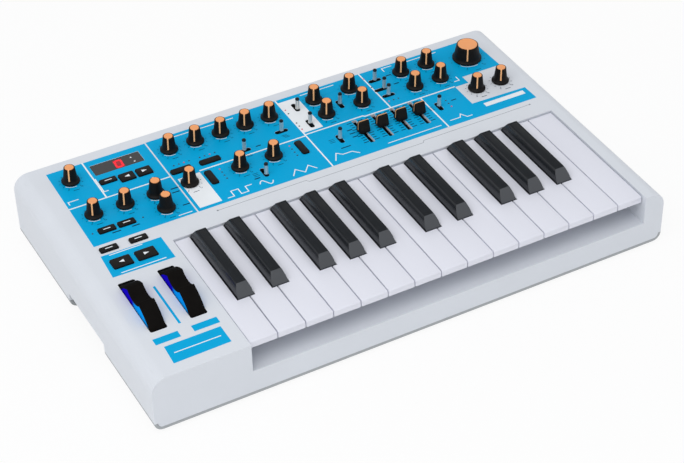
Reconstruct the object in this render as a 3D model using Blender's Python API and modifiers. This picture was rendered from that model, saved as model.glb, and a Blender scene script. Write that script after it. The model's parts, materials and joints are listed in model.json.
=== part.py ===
"""A 25-key analog synthesizer: two case shells, a keybed, a control board, its caps and two wheels.

The origin is on the surface it stands on, under the middle of the case: +X runs along the keys to
the right, the player sits at -Y, and +Z is up. Lengths are metres and angles are degrees.
"""

import math

import bmesh
import bpy
from mathutils import Matrix

# Case shells
CASE_WIDTH = 0.457
CASE_DEPTH = 0.273
CASE_FRONT_HEIGHT = 0.051
CASE_REAR_HEIGHT = 0.061
CASE_WALL = 0.0025
TOP_EDGE_RADIUS = 0.013
END_EDGE_RADIUS = 0.0025
LOWER_EDGE_RADIUS = 0.0072
FLOOR_TOP = 0.0045
FLOOR_THICKNESS = 0.0027
JOINT_GAP = 0.0003
GRIP_LENGTH = 0.070
GRIP_HEIGHT = 0.0075
GRIP_FROM_FRONT = 0.093
GRIP_DEPTH = 0.009
GRIP_WALL = 0.002
GRIP_WALL_HEIGHT = 0.020
FOOT_RADIUS = 0.008
FOOT_INSET_X = 0.026
FOOT_INSET_Y = 0.022
BOSS_RADIUS = 0.0035
BOSS_INSET_X = 0.0095
BOSS_INSET_Y = 0.012
POST_RADIUS = 0.004
POST_ROOT = 0.0005

# Keybed
WHITE_COUNT = 15
WHITE_GAP = 0.001
LEFT_CHEEK = 0.082
RIGHT_CHEEK = 0.0195
KEYS_BELOW_PANEL = 0.0013
KEY_OVERHANG = 0.0045
KEY_VISIBLE_LENGTH = 0.132
KEY_FRONT_THICKNESS = 0.0035
KEY_LIP_LENGTH = 0.020
KEY_LIP_SLOPE = 0.004
KEY_DEPTH = 0.009
KEY_WALL = 0.002
KEY_ROOF = 0.003
KEY_EDGE_RADIUS = 0.0012
BLACK_BASE_WIDTH = 0.0134
BLACK_TOP_WIDTH = 0.0090
BLACK_SHOULDER_WIDTH = 0.0098
BLACK_HEIGHT = 0.0095
BLACK_LENGTH = 0.0847
BLACK_FRONT_SLOPE = 0.0070
BLACK_REAR_SLOPE = 0.0055
BLACK_TOP_EDGE = 0.0015
BLACK_ROUNDING = 0.0008
BLACK_CLEARANCE = 0.0008
PAIR_SHIFT = 0.0029
TRIO_SHIFT = 0.0031
KEY_DIP_ANGLE = 3.8
PIVOT_BEHIND = 0.018
PIVOT_BELOW = 0.008
PIVOT_RADIUS = 0.0025
TAIL_LENGTH = 0.003
TAIL_STEP = 0.0025
TAIL_DROP = 0.0025
TAIL_FROM_PIVOT = 0.012
RUNNING_GAP = 0.0003
SHELF_TOP = 0.025
SHELF_DEPTH = 0.0365
FALLBOARD_LIP = 0.0005
WELL_SIDE_GAP = 0.0005
CHASSIS_BOTTOM = 0.012
CHASSIS_PLATE = 0.002
GUIDE_THICKNESS = 0.003
GUIDE_LENGTH = 0.009
GUIDE_FROM_WALL = 0.012
RAIL_FROM_BLACK_FRONT = 0.010
RAIL_LENGTH = 0.006
RIB_THICKNESS = 0.0028

# Wheels
WHEEL_RADIUS = 0.037
WHEEL_WIDTH = 0.013
WHEEL_RISE = 0.0131
WHEEL_SWEEP = 80.0
WHEEL_HUB_RADIUS = 0.009
WHEEL_BORE_RADIUS = 0.0028
WHEEL_SLOT_LENGTH = 0.062
WHEEL_SLOT_GAP = 0.0005
WHEEL_SLOT_CORNER = 0.001
WHEEL_FROM_FRONT = 0.0786
PITCH_WHEEL_FROM_LEFT = 0.0292
MOD_WHEEL_FROM_LEFT = 0.0622
WHEEL_POST = 0.0024
WHEEL_POST_FOOT = 0.028
WHEEL_POST_HEAD = 0.0055
DIP_DEPTH = 0.006
DIP_RADIUS = 0.014

# Knobs
SMALL_KNOB_HEIGHT = 0.0145
SMALL_KNOB_SKIRT = 0.0076
SMALL_KNOB_BODY = 0.0052
SMALL_KNOB_TOP = 0.0045
BIG_KNOB_HEIGHT = 0.0150
BIG_KNOB_SKIRT = 0.0140
BIG_KNOB_BODY = 0.0120
BIG_KNOB_TOP = 0.0106
SKIRT_HEIGHT = 0.0017
FLARE_HEIGHT = 0.0045
KNOB_GAP = 0.0005
SHAFT_RADIUS = 0.003
SHAFT_HEIGHT = 0.0105
SHAFT_HOLE_RADIUS = 0.0038

# Board and its parts, under the panel
BOARD_BELOW_PANEL = 0.012
BOARD_THICKNESS = 0.0016
BOARD_SIDE_GAP = 0.014
BOARD_REAR_GAP = 0.005
BOARD_FRONT_GAP = 0.0055
BOARD_ARM_GAP = 0.0064
BODY_HEIGHT = 0.0065
POT_BODY = 0.0098
SWITCH_SLOT_LENGTH = 0.012
SWITCH_SLOT_WIDTH = 0.0042
SWITCH_LEVER_RADIUS = 0.0017
SWITCH_LEVER_HEIGHT = 0.011
SWITCH_THROW = 0.0033
SWITCH_BODY_MARGIN = 0.0015
FADER_SLOT_LENGTH = 0.034
FADER_SLOT_WIDTH = 0.0042
FADER_FROM_FRONT = 0.1889
FADER_FIRST_X = 0.054
FADER_PITCH = 0.0182
FADER_STEM = (0.0012, 0.004)
FADER_STEM_DEPTH = 0.0085
FADER_BODY = (0.009, 0.044)
FADER_CAP_WIDTH = 0.0098
FADER_CAP_LENGTH = 0.0092
FADER_RIDGE_WIDTH = 0.0086
FADER_RIDGE_LENGTH = 0.0022
FADER_CAP_HEIGHT = 0.0095
FADER_CAP_GAP = 0.001
DISPLAY_CENTRE = (-0.1458, 0.2487)
DISPLAY_SIZE = (0.0437, 0.0143)
DISPLAY_CORNER = 0.0005
DISPLAY_SUNK = 0.0004
BUTTON_RISE = 0.0013
BUTTON_CORNER = 0.0022
BUTTON_GAP = 0.0003
MAT_THICKNESS = 0.0012
MAT_RIB_WIDTH = 0.0035

# Rear sockets
SOCKET_BELOW_BOARD = 0.0075
SOCKET_DEPTH = 0.015
SOCKET_WALL = 0.0022
SOCKET_END = 0.003
NOSE_SUNK = 0.0004
JACK_RADIUS = 0.0034
DIN_RADIUS = 0.0070
DC_RADIUS = 0.0032
USB_SIZE = (0.0085, 0.0078)
USB_CORNER = 0.0008

# The panel's layout is drawn on a panel of this width and depth, with the rear ends of the wheel
# slots and of the keybed at these distances from its front edge
LAYOUT_WIDTH = 0.457
LAYOUT_DEPTH = 0.273
LAYOUT_WHEELS = 0.1096
LAYOUT_KEYBED = 0.163
# Places in the layout: distance from the panel's middle, then from its front edge
SMALL_KNOBS = {
    "volume_knob": (-0.1885, 0.2447),
    "osc_range_knob": (-0.1004, 0.2444),
    "osc_coarse_knob": (-0.0764, 0.2444),
    "osc_fine_knob": (-0.0528, 0.2444),
    "osc_width_knob": (-0.0298, 0.2444),
    "osc_depth_knob": (-0.0066, 0.2444),
    "mix_osc_1_knob": (0.0383, 0.2478),
    "mix_osc_2_knob": (0.0383, 0.2248),
    "mix_sub_knob": (0.0730, 0.2478),
    "mix_noise_knob": (0.0730, 0.2248),
    "filter_drive_knob": (0.1250, 0.2478),
    "filter_resonance_knob": (0.1508, 0.2478),
    "filter_env_knob": (0.1250, 0.2234),
    "filter_lfo_knob": (0.1508, 0.2234),
    "effect_distortion_knob": (0.1705, 0.1948),
    "effect_mix_knob": (0.1948, 0.1948),
    "lfo_speed_knob": (-0.0592, 0.1945),
    "lfo_delay_knob": (-0.0281, 0.1945),
    "glide_knob": (-0.1043, 0.1958),
    "arp_rate_knob": (-0.1889, 0.1956),
    "arp_rhythm_knob": (-0.1616, 0.1956),
    "arp_pattern_knob": (-0.1347, 0.1956),
    "arp_octave_knob": (-0.1347, 0.1753),
}
BIG_KNOB = {"filter_cutoff_knob": (0.1877, 0.2387)}
FADERS = ("attack_fader", "decay_fader", "sustain_fader", "release_fader")
# Slide switches: place, whether the slot runs left to right, and the lever's place in throws
SWITCHES = (
    (-0.0460, 0.2133, True, 0),
    (-0.0066, 0.2220, True, 0),
    (0.0198, 0.2465, False, -1),
    (0.0198, 0.2201, False, 0),
    (0.0554, 0.2322, False, 0),
    (0.0316, 0.1888, False, 0),
    (-0.0447, 0.1789, False, -1),
    (0.0990, 0.2484, True, 0),
    (0.0970, 0.2341, True, 1),
    (0.0987, 0.2235, True, 0),
    (0.1282, 0.1881, False, 0),
)
# Buttons: place, then width and length
BUTTONS = (
    (-0.1614, 0.2306, 0.0145, 0.0060),
    (-0.1457, 0.2279, 0.0130, 0.0100),
    (-0.1306, 0.2279, 0.0130, 0.0100),
    (-0.1870, 0.1739, 0.0145, 0.0065),
    (-0.1700, 0.1739, 0.0145, 0.0065),
    (-0.1950, 0.1515, 0.0150, 0.0060),
    (-0.1699, 0.1515, 0.0150, 0.0060),
    (-0.1927, 0.1319, 0.0166, 0.0113),
    (-0.1719, 0.1319, 0.0166, 0.0113),
    (-0.1032, 0.2147, 0.0185, 0.0062),
    (-0.0770, 0.2147, 0.0185, 0.0062),
    (-0.0857, 0.1937, 0.0062, 0.0185),
    (-0.0022, 0.1937, 0.0062, 0.0185),
)
# Ribs of the button mat that tie its caps together: the ends of each rib's middle line
MAT_RIBS = (
    ((-0.1785, 0.1319), (-0.1785, 0.2032)),
    ((-0.1927, 0.1319), (-0.1719, 0.1319)),
    ((-0.1950, 0.1515), (-0.1699, 0.1515)),
    ((-0.1870, 0.1739), (-0.1700, 0.1739)),
    ((-0.1785, 0.2032), (-0.0022, 0.2032)),
    ((-0.0857, 0.1937), (-0.0857, 0.2032)),
    ((-0.0022, 0.1937), (-0.0022, 0.2032)),
    ((-0.1032, 0.2032), (-0.1032, 0.2147)),
    ((-0.0770, 0.2032), (-0.0770, 0.2147)),
    ((-0.1457, 0.2032), (-0.1457, 0.2279)),
    ((-0.1614, 0.2279), (-0.1306, 0.2279)),
)
# Posts under the board
BOARD_POSTS = (
    (-0.207, 0.186),
    (-0.118, 0.186),
    (0.010, 0.186),
    (0.150, 0.186),
    (0.205, 0.215),
    (-0.165, 0.124),
)
# Rear sockets: kind and place along the rear wall, as seen from above
SOCKETS = (
    ("dc", 0.192),
    ("usb", 0.170),
    ("din", 0.142),
    ("din", 0.116),
    ("jack", 0.060),
    ("jack", 0.036),
    ("jack", -0.020),
    ("jack", -0.044),
)

# Worked out from the driving dimensions. The keybed's places are those it has with the panel level:
# its frame then tilts it by as much as the panel.
CORNERS = ((-1, -1), (1, -1), (-1, 1), (1, 1))
HALF_WIDTH = CASE_WIDTH / 2
HALF_DEPTH = CASE_DEPTH / 2
SLOPE = (CASE_REAR_HEIGHT - CASE_FRONT_HEIGHT) / CASE_DEPTH
TILT = math.atan(SLOPE)
KEY_TOP = CASE_FRONT_HEIGHT - KEYS_BELOW_PANEL
KEYS_LEFT = -HALF_WIDTH + LEFT_CHEEK
KEYS_RIGHT = HALF_WIDTH - RIGHT_CHEEK
WHITE_PITCH = (KEYS_RIGHT - KEYS_LEFT) / WHITE_COUNT
PITCH_WHEEL_X = -HALF_WIDTH + PITCH_WHEEL_FROM_LEFT
MOD_WHEEL_X = -HALF_WIDTH + MOD_WHEEL_FROM_LEFT
KEY_FRONT = -HALF_DEPTH + KEY_OVERHANG
FALLBOARD = KEY_FRONT + KEY_VISIBLE_LENGTH
PIVOT_Y = FALLBOARD + PIVOT_BEHIND
PIVOT_Z = KEY_TOP - PIVOT_BELOW
KEY_REAR = PIVOT_Y + PIVOT_RADIUS + TAIL_LENGTH
CHASSIS_REAR = KEY_REAR + 0.001 + CHASSIS_PLATE
BLACK_REAR = FALLBOARD - WELL_SIDE_GAP
BLACK_FRONT = BLACK_REAR - BLACK_LENGTH
FLOOR_BOTTOM = FLOOR_TOP - FLOOR_THICKNESS
FAR = 0.5
# Distances from the panel's front edge that the layout follows
WHEELS_REAR = WHEEL_FROM_FRONT + WHEEL_SLOT_LENGTH / 2
KEYBED_REAR = CHASSIS_REAR + HALF_DEPTH

# Colours, roughness and metallic of the finishes
FINISHES = {
    "case_white": ((0.80, 0.83, 0.86), 0.45, 0.0),
    "base_grey": ((0.35, 0.37, 0.39), 0.55, 0.0),
    "key_white": ((0.86, 0.87, 0.92), 0.25, 0.0),
    "key_black": ((0.03, 0.03, 0.035), 0.35, 0.0),
    "chassis": ((0.25, 0.26, 0.27), 0.50, 0.6),
    "board": ((0.02, 0.12, 0.05), 0.50, 0.0),
    "rubber": ((0.02, 0.02, 0.022), 0.70, 0.0),
    "knob_black": ((0.015, 0.015, 0.018), 0.50, 0.0),
}

parts = bpy.data.collections.new("synthesizer")
cutters = bpy.data.collections.new("cutters")


# Modelling helpers


def finish(name):
    """The Principled material of that name, made once."""
    made = bpy.data.materials.get(name)
    if made:
        return made
    colour, roughness, metallic = FINISHES[name]
    made = bpy.data.materials.new(name)
    made.use_nodes = True
    shader = made.node_tree.nodes["Principled BSDF"]
    shader.inputs["Base Color"].default_value = (*colour, 1)
    shader.inputs["Roughness"].default_value = roughness
    shader.inputs["Metallic"].default_value = metallic
    return made


def add_part(name, mesh, finish_name, location=(0, 0, 0), parent=None):
    """A named piece of the object, shaded smooth but for its sharp edges."""
    mesh.materials.clear()
    mesh.materials.append(finish(finish_name))
    mesh.shade_smooth()
    mesh.set_sharp_from_angle(angle=math.radians(35))
    obj = bpy.data.objects.new(name, mesh)
    parts.objects.link(obj)
    obj.parent = parent
    obj.location = location
    return obj


def add_helper(name, mesh, location=(0, 0, 0), parent=None, group=cutters):
    """A cutter or a shape to be joined, left out of renders."""
    obj = bpy.data.objects.new(name, mesh)
    group.objects.link(obj)
    obj.hide_render = True
    obj.display_type = "WIRE"
    obj.parent = parent
    obj.location = location
    return obj


def helper_group(name):
    """A collection of helpers that one Boolean takes together."""
    group = bpy.data.collections.new(name)
    cutters.children.link(group)
    return group


def combine(obj, operation, other):
    """A Boolean with one helper, or with a collection of them."""
    modifier = obj.modifiers.new(operation.lower(), "BOOLEAN")
    modifier.operation = operation
    if isinstance(other, bpy.types.Collection):
        modifier.operand_type = "COLLECTION"
        modifier.collection = other
    else:
        modifier.object = other
    return modifier


def flat_mesh(name, points, thickness, turn=None):
    """A closed outline with a thickness, as a mesh centred on its plane."""
    curve = bpy.data.curves.new(name, "CURVE")
    curve.dimensions = "2D"
    curve.fill_mode = "BOTH"
    curve.extrude = thickness / 2
    spline = curve.splines.new("POLY")
    spline.points.add(len(points) - 1)
    for point, (a, b) in zip(spline.points, points):
        point.co = (a, b, 0, 1)
    spline.use_cyclic_u = True
    guide = bpy.data.objects.new(name, curve)
    mesh = bpy.data.meshes.new_from_object(guide)
    bpy.data.objects.remove(guide)
    bpy.data.curves.remove(curve)
    weld(mesh)
    if turn:
        mesh.transform(turn)
    return mesh


def weld(mesh):
    """Joins the caps of a filled curve to its sides, with its faces pointing out."""
    bm = bmesh.new()
    bm.from_mesh(mesh)
    bmesh.ops.remove_doubles(bm, verts=bm.verts, dist=1e-6)
    bmesh.ops.recalc_face_normals(bm, faces=bm.faces)
    bm.to_mesh(mesh)
    bm.free()


# An outline in Y and Z extruded along X, and one in X and Z extruded along Y
ALONG_X = Matrix(((0, 0, 1, 0), (1, 0, 0, 0), (0, 1, 0, 0), (0, 0, 0, 1)))
ALONG_Y = Matrix(((1, 0, 0, 0), (0, 0, -1, 0), (0, 1, 0, 0), (0, 0, 0, 1)))


def box_mesh(name, low, high):
    """A box between two corners."""
    (x0, y0, z0), (x1, y1, z1) = low, high
    mesh = flat_mesh(name, ((x0, y0), (x1, y0), (x1, y1), (x0, y1)), z1 - z0)
    mesh.transform(Matrix.Translation((0, 0, (z0 + z1) / 2)))
    return mesh


def arc(centre, radius, start, end, steps):
    """Points along an arc, angles in degrees."""
    angles = (math.radians(start + (end - start) * i / steps) for i in range(steps + 1))
    return [(centre[0] + radius * math.cos(a), centre[1] + radius * math.sin(a)) for a in angles]


def rectangle(width, length):
    """A rectangle, centred."""
    x, y = width / 2, length / 2
    return [(x, y), (-x, y), (-x, -y), (x, -y)]


def round_outline(radius, sides):
    """A circle with that many sides, centred."""
    return arc((0, 0), radius, 0, 360 - 360 / sides, sides - 1)


def rounded_outline(width, length, radius, steps=1):
    """A rectangle with round corners, centred."""
    x, y = width / 2 - radius, length / 2 - radius
    points = []
    for cx, cy, start in ((x, y, 0), (-x, y, 90), (-x, -y, 180), (x, -y, 270)):
        points += arc((cx, cy), radius, start, start + 90, steps)
    return points


def column_mesh(name, radius, bottom, top, sides=12):
    """An upright round column."""
    mesh = flat_mesh(name, round_outline(radius, sides), top - bottom)
    mesh.transform(Matrix.Translation((0, 0, (bottom + top) / 2)))
    return mesh


def turn_about_z(obj, steps):
    """Turns the object's profile about its own Z."""
    screw = obj.modifiers.new("turn", "SCREW")
    screw.steps = screw.render_steps = steps
    screw.use_merge_vertices = True
    screw.merge_threshold = 1e-5


def profile_mesh(name, profile):
    """Half of a turned piece's section, in radius and height, to be turned by a Screw modifier."""
    mesh = bpy.data.meshes.new(name)
    edges = [(i, i + 1) for i in range(len(profile) - 1)]
    mesh.from_pydata([(r, 0, z) for r, z in profile], edges, [])
    return mesh


def placed(x, y):
    """A place in the layout, moved with the case's width, the wheels and the keybed's rear."""
    if y < LAYOUT_KEYBED:
        share = (y - LAYOUT_WHEELS) / (LAYOUT_KEYBED - LAYOUT_WHEELS)
        moved = WHEELS_REAR + share * (KEYBED_REAR - WHEELS_REAR)
    else:
        share = (y - LAYOUT_KEYBED) / (LAYOUT_DEPTH - LAYOUT_KEYBED)
        moved = KEYBED_REAR + share * (CASE_DEPTH - KEYBED_REAR)
    return x * CASE_WIDTH / LAYOUT_WIDTH, moved


def fader_places():
    """The middle of every fader's slot."""
    return [placed(FADER_FIRST_X + i * FADER_PITCH, FADER_FROM_FRONT) for i in range(len(FADERS))]


# Case


def case_outline(inset, bottom):
    """The case's section across its width at the front: upright sides and round top edges."""
    half = HALF_WIDTH - inset
    radius = TOP_EDGE_RADIUS - inset
    top = CASE_FRONT_HEIGHT - inset
    points = [(-half, bottom), (half, bottom)]
    points += arc((half - radius, top - radius), radius, 0, 90, 6)
    points += arc((radius - half, top - radius), radius, 90, 180, 6)
    return points


def case_form(name, inset, bottom, depth):
    """The case's outer form, or its cavity, whose top rises to the rear."""
    mesh = flat_mesh(name, case_outline(inset, bottom), depth, ALONG_Y)
    for vertex in mesh.vertices:
        if vertex.co.z > bottom + JOINT_GAP:
            vertex.co.z += SLOPE * (vertex.co.y + HALF_DEPTH)
    return mesh


def key_well(keybed):
    """The opening for the keys, the shelf in front of them and the way under the panel."""
    shelf_rear = -HALF_DEPTH + SHELF_DEPTH
    under = CASE_FRONT_HEIGHT - CASE_WALL - FALLBOARD_LIP
    rear = FALLBOARD + WELL_SIDE_GAP
    outline = (
        (-FAR, SHELF_TOP),
        (shelf_rear, SHELF_TOP),
        (shelf_rear, -FAR),
        (rear + 2 * CASE_WALL, -FAR),
        (rear + 2 * CASE_WALL, under),
        (rear, under),
        (rear, FAR),
        (-FAR, FAR),
    )
    width = KEYS_RIGHT - KEYS_LEFT + 2 * WELL_SIDE_GAP
    mesh = flat_mesh("key_well", outline, width, ALONG_X)
    return add_helper("key_well", mesh, ((KEYS_LEFT + KEYS_RIGHT) / 2, 0, 0), keybed)


def case_cavity(keybed):
    """The hollow of the top shell, kept clear of the well's walls and shelf."""
    cavity = add_helper(
        "case_cavity",
        case_form("case_cavity", CASE_WALL, -FAR, CASE_DEPTH - 2 * CASE_WALL),
    )
    low = (KEYS_LEFT - WELL_SIDE_GAP - CASE_WALL, -FAR, SHELF_TOP - CASE_WALL)
    high = (KEYS_RIGHT + WELL_SIDE_GAP + CASE_WALL, FALLBOARD + WELL_SIDE_GAP + CASE_WALL, FAR)
    walls = add_helper("well_walls", box_mesh("well_walls", low, high), parent=keybed)
    combine(cavity, "DIFFERENCE", walls)
    return cavity


def base_relief():
    """Everything under the joint between the shells, with the two grips in the sides."""
    relief = helper_group("base_relief")
    rise = FLOOR_BOTTOM + LOWER_EDGE_RADIUS
    seam = rise + JOINT_GAP
    middle = HALF_WIDTH - LOWER_EDGE_RADIUS
    radius = LOWER_EDGE_RADIUS - CASE_WALL - JOINT_GAP
    drop = math.degrees(math.asin((rise - FLOOR_TOP - JOINT_GAP) / radius))
    right = [(FAR, seam), (middle + radius, seam)] + arc((middle, rise), radius, 0, -drop, 4)
    outline = [(-FAR, -FAR), (FAR, -FAR)] + right + [(-x, z) for x, z in reversed(right)]
    add_helper("below_joint", flat_mesh("below_joint", outline, FAR, ALONG_Y), group=relief)
    for i, side in enumerate((-1, 1)):
        name = f"shell_grip_{i}"
        add_helper(name, grip_mesh(name, side, seam + GRIP_HEIGHT), group=relief)
    return relief


def grip_mesh(name, side, top):
    """The finger grip's recess in one side of the case, from below it up to a height."""
    near, far = sorted((side * FAR, side * (HALF_WIDTH - GRIP_DEPTH)))
    front = -HALF_DEPTH + GRIP_FROM_FRONT
    return box_mesh(name, (near, front, -FAR), (far, front + GRIP_LENGTH, top))


def panel_openings(panel):
    """The holes in the panel for shafts, levers, faders, buttons, wheels and the display."""
    group = helper_group("panel_openings")
    deep = 4 * CASE_WALL

    def opening(name, outline, x, y):
        add_helper(name, flat_mesh(name, outline, deep), (x, y, 0), panel, group)

    for name, place in {**SMALL_KNOBS, **BIG_KNOB}.items():
        opening(f"{name}_hole", round_outline(SHAFT_HOLE_RADIUS, 6), *placed(*place))
    for i, (x, y, across, _) in enumerate(SWITCHES):
        size = (SWITCH_SLOT_LENGTH, SWITCH_SLOT_WIDTH)
        width, length = size if across else size[::-1]
        outline = rounded_outline(width, length, SWITCH_SLOT_WIDTH / 3)
        opening(f"switch_slot_{i}", outline, *placed(x, y))
    for i, place in enumerate(fader_places()):
        outline = rounded_outline(FADER_SLOT_WIDTH, FADER_SLOT_LENGTH, FADER_SLOT_WIDTH / 4)
        opening(f"fader_slot_{i}", outline, *place)
    for i, (x, y, width, length) in enumerate(BUTTONS):
        size = (width + 2 * BUTTON_GAP, length + 2 * BUTTON_GAP)
        opening(f"button_hole_{i}", rounded_outline(*size, BUTTON_CORNER), *placed(x, y))
    for name, x in (("pitch_slot", PITCH_WHEEL_X), ("mod_slot", MOD_WHEEL_X)):
        width = WHEEL_WIDTH + 2 * WHEEL_SLOT_GAP
        outline = rounded_outline(width, WHEEL_SLOT_LENGTH, WHEEL_SLOT_CORNER)
        opening(name, outline, x, WHEEL_FROM_FRONT)
    window = rounded_outline(*DISPLAY_SIZE, DISPLAY_CORNER)
    opening("display_window", window, *placed(*DISPLAY_CENTRE))
    return group


def socket_outline(kind, grow=0.0):
    """The outline of a rear socket's mouth."""
    if kind == "usb":
        width, height = USB_SIZE
        return rounded_outline(width + 2 * grow, height + 2 * grow, USB_CORNER + grow)
    radius = {"jack": JACK_RADIUS, "din": DIN_RADIUS, "dc": DC_RADIUS}[kind]
    return round_outline(radius + grow, 12 if kind == "din" else 10)


def socket_height():
    """The height of every socket's middle."""
    return CASE_REAR_HEIGHT - BOARD_BELOW_PANEL - BOARD_THICKNESS - SOCKET_BELOW_BOARD


def socket_holes():
    """The holes through the rear wall, a little wider than the sockets' noses."""
    group = helper_group("socket_holes")
    for i, (kind, x) in enumerate(socket_places()):
        outline = socket_outline(kind, SOCKET_WALL / 2 + BUTTON_GAP)
        mesh = flat_mesh(f"socket_hole_{i}", outline, 4 * CASE_WALL, ALONG_Y)
        add_helper(f"socket_hole_{i}", mesh, (x, HALF_DEPTH, socket_height()), group=group)
    return group


def socket_places():
    """(kind, place along the rear wall) of every socket."""
    return [(kind, x * CASE_WIDTH / LAYOUT_WIDTH) for kind, x in SOCKETS]


def corner_bosses(bottom, radius):
    """Screw bosses in the four corners, from the joint up into the panel."""
    group = helper_group("corner_bosses")
    for i, (side, end) in enumerate(CORNERS):
        x, y = side * (HALF_WIDTH - BOSS_INSET_X), end * (HALF_DEPTH - BOSS_INSET_Y)
        top = CASE_FRONT_HEIGHT + SLOPE * (y + HALF_DEPTH) - 0.6 * CASE_WALL
        mesh = column_mesh(f"corner_boss_{i}", radius, bottom, top, 6)
        add_helper(f"corner_boss_{i}", mesh, (x, y, 0), group=group)
    return group


def top_case(panel, keybed):
    """The upper shell: panel, cheeks, front lip and rear wall in one moulding."""
    obj = add_part("top_case", case_form("top_case", 0, 0, CASE_DEPTH), "case_white")
    bevel = obj.modifiers.new("end edges", "BEVEL")
    bevel.width = END_EDGE_RADIUS
    bevel.segments = 2
    bevel.limit_method = "ANGLE"
    bevel.angle_limit = math.radians(50)
    combine(obj, "DIFFERENCE", case_cavity(keybed))
    combine(obj, "UNION", corner_bosses(0, BOSS_RADIUS))
    combine(obj, "DIFFERENCE", key_well(keybed))
    combine(obj, "DIFFERENCE", base_relief())
    combine(obj, "DIFFERENCE", panel_openings(panel))
    combine(obj, "DIFFERENCE", socket_holes())
    return obj


def base_outline():
    """The lower shell's section: a flat floor whose sides turn up in an arc."""
    half, radius = HALF_WIDTH, LOWER_EDGE_RADIUS
    rise = FLOOR_BOTTOM + radius
    inner = radius - CASE_WALL
    points = arc((radius - half, rise), radius, 180, 270, 5)
    points += arc((half - radius, rise), radius, 270, 360, 5)
    points += arc((half - radius, rise), inner, 360, 280, 4)
    points += [(half - radius - 0.002, FLOOR_TOP), (radius + 0.002 - half, FLOOR_TOP)]
    points += arc((radius - half, rise), inner, 260, 180, 4)
    return points


def wheel_axle_place():
    """The wheels' common axle, seen from the side."""
    along, down = WHEEL_FROM_FRONT, WHEEL_RADIUS - WHEEL_RISE
    y = along * math.cos(TILT) + down * math.sin(TILT) - HALF_DEPTH
    z = along * math.sin(TILT) - down * math.cos(TILT) + CASE_FRONT_HEIGHT
    return y, z


def wheel_stand(group):
    """Three posts and the axle that both wheels turn on."""
    y, z = wheel_axle_place()
    half = WHEEL_WIDTH / 2 + WHEEL_POST / 2 + RUNNING_GAP
    posts = (PITCH_WHEEL_X - half, (PITCH_WHEEL_X + MOD_WHEEL_X) / 2, MOD_WHEEL_X + half)
    foot = WHEEL_POST_FOOT / 2
    outline = [(-foot, 0), (foot, 0)] + arc((0, z - FLOOR_BOTTOM), WHEEL_POST_HEAD, 10, 170, 6)
    for i, x in enumerate(posts):
        mesh = flat_mesh(f"wheel_post_{i}", outline, WHEEL_POST, ALONG_X)
        add_helper(f"wheel_post_{i}", mesh, (x, y, FLOOR_BOTTOM + POST_ROOT), group=group)
    radius = WHEEL_BORE_RADIUS - RUNNING_GAP
    span = posts[2] - posts[0]
    axle = flat_mesh("wheel_axle", round_outline(radius, 12), span, ALONG_X)
    add_helper("wheel_axle", axle, ((posts[0] + posts[2]) / 2, y, z), group=group)


def bottom_case():
    """The lower shell: floor, feet, and the posts that carry the keybed, the board and the wheels."""
    mesh = flat_mesh("bottom_case", base_outline(), CASE_DEPTH - 2 * JOINT_GAP, ALONG_Y)
    obj = add_part("bottom_case", mesh, "base_grey")
    posts = helper_group("floor_posts")
    root = FLOOR_BOTTOM + POST_ROOT
    for i, (side, end) in enumerate(CORNERS):
        x, y = side * (HALF_WIDTH - FOOT_INSET_X), end * (HALF_DEPTH - FOOT_INSET_Y)
        mesh = column_mesh(f"foot_{i}", FOOT_RADIUS, 0, root, 10)
        add_helper(f"foot_{i}", mesh, (x, y, 0), group=posts)
    for i, (x, y) in enumerate(chassis_post_places()):
        under = CHASSIS_BOTTOM + SLOPE * (y + HALF_DEPTH - POST_RADIUS)
        mesh = column_mesh(f"chassis_post_{i}", POST_RADIUS, root, under - JOINT_GAP, 6)
        add_helper(f"chassis_post_{i}", mesh, (x, y, 0), group=posts)
    for i, (x, y) in enumerate(placed(*place) for place in BOARD_POSTS):
        under = CASE_FRONT_HEIGHT + SLOPE * y - BOARD_BELOW_PANEL - BOARD_THICKNESS
        mesh = column_mesh(f"board_post_{i}", BOSS_RADIUS, root, under - POST_ROOT, 6)
        add_helper(f"board_post_{i}", mesh, (x, y - HALF_DEPTH, 0), group=posts)
    for i, side in enumerate((-1, 1)):
        near, far = sorted(side * (HALF_WIDTH - GRIP_DEPTH - depth) for depth in (0.0, GRIP_WALL))
        low = (near, GRIP_FROM_FRONT - HALF_DEPTH - GRIP_WALL, root)
        high = (far, low[1] + GRIP_LENGTH + 2 * GRIP_WALL, root + GRIP_WALL_HEIGHT)
        add_helper(f"grip_wall_{i}", box_mesh(f"grip_wall_{i}", low, high), group=posts)
    wheel_stand(posts)
    combine(obj, "UNION", posts)
    for i, side in enumerate((-1, 1)):
        name = f"base_grip_{i}"
        combine(obj, "DIFFERENCE", add_helper(name, grip_mesh(name, side, FAR)))
    return obj


# Keybed


def chassis_post_places():
    """Where the keybed's base plate stands on the floor."""
    width = KEYS_RIGHT - KEYS_LEFT
    xs = (KEYS_LEFT + 0.1 * width, KEYS_LEFT + 0.5 * width, KEYS_LEFT + 0.9 * width)
    return [(x, y) for y in (BLACK_FRONT, PIVOT_Y - TAIL_FROM_PIVOT) for x in xs]


def pivot_notch(bottom):
    """The half-round notch under a key's rear that sits on the rail."""
    radius = PIVOT_RADIUS + RUNNING_GAP
    over = arc((PIVOT_Y, PIVOT_Z), radius, 180, 0, 4)
    return [(PIVOT_Y - radius, bottom), *over, (PIVOT_Y + radius, bottom)]


def tail_underside():
    """The underside of a key from its body back to its rear end, with the notch in it."""
    under = KEY_TOP - KEY_DEPTH
    low = under - TAIL_DROP
    start = PIVOT_Y - TAIL_FROM_PIVOT
    return [(start, under), (start + 1.6 * TAIL_DROP, low), *pivot_notch(low), (KEY_REAR, low)]


def tail_top():
    """The top of a key's tail under the panel, and the step up from it at the panel's front edge."""
    low = KEY_TOP - TAIL_STEP
    return [(KEY_REAR, low), (BLACK_REAR, low), (BLACK_REAR, KEY_TOP)]


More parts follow.
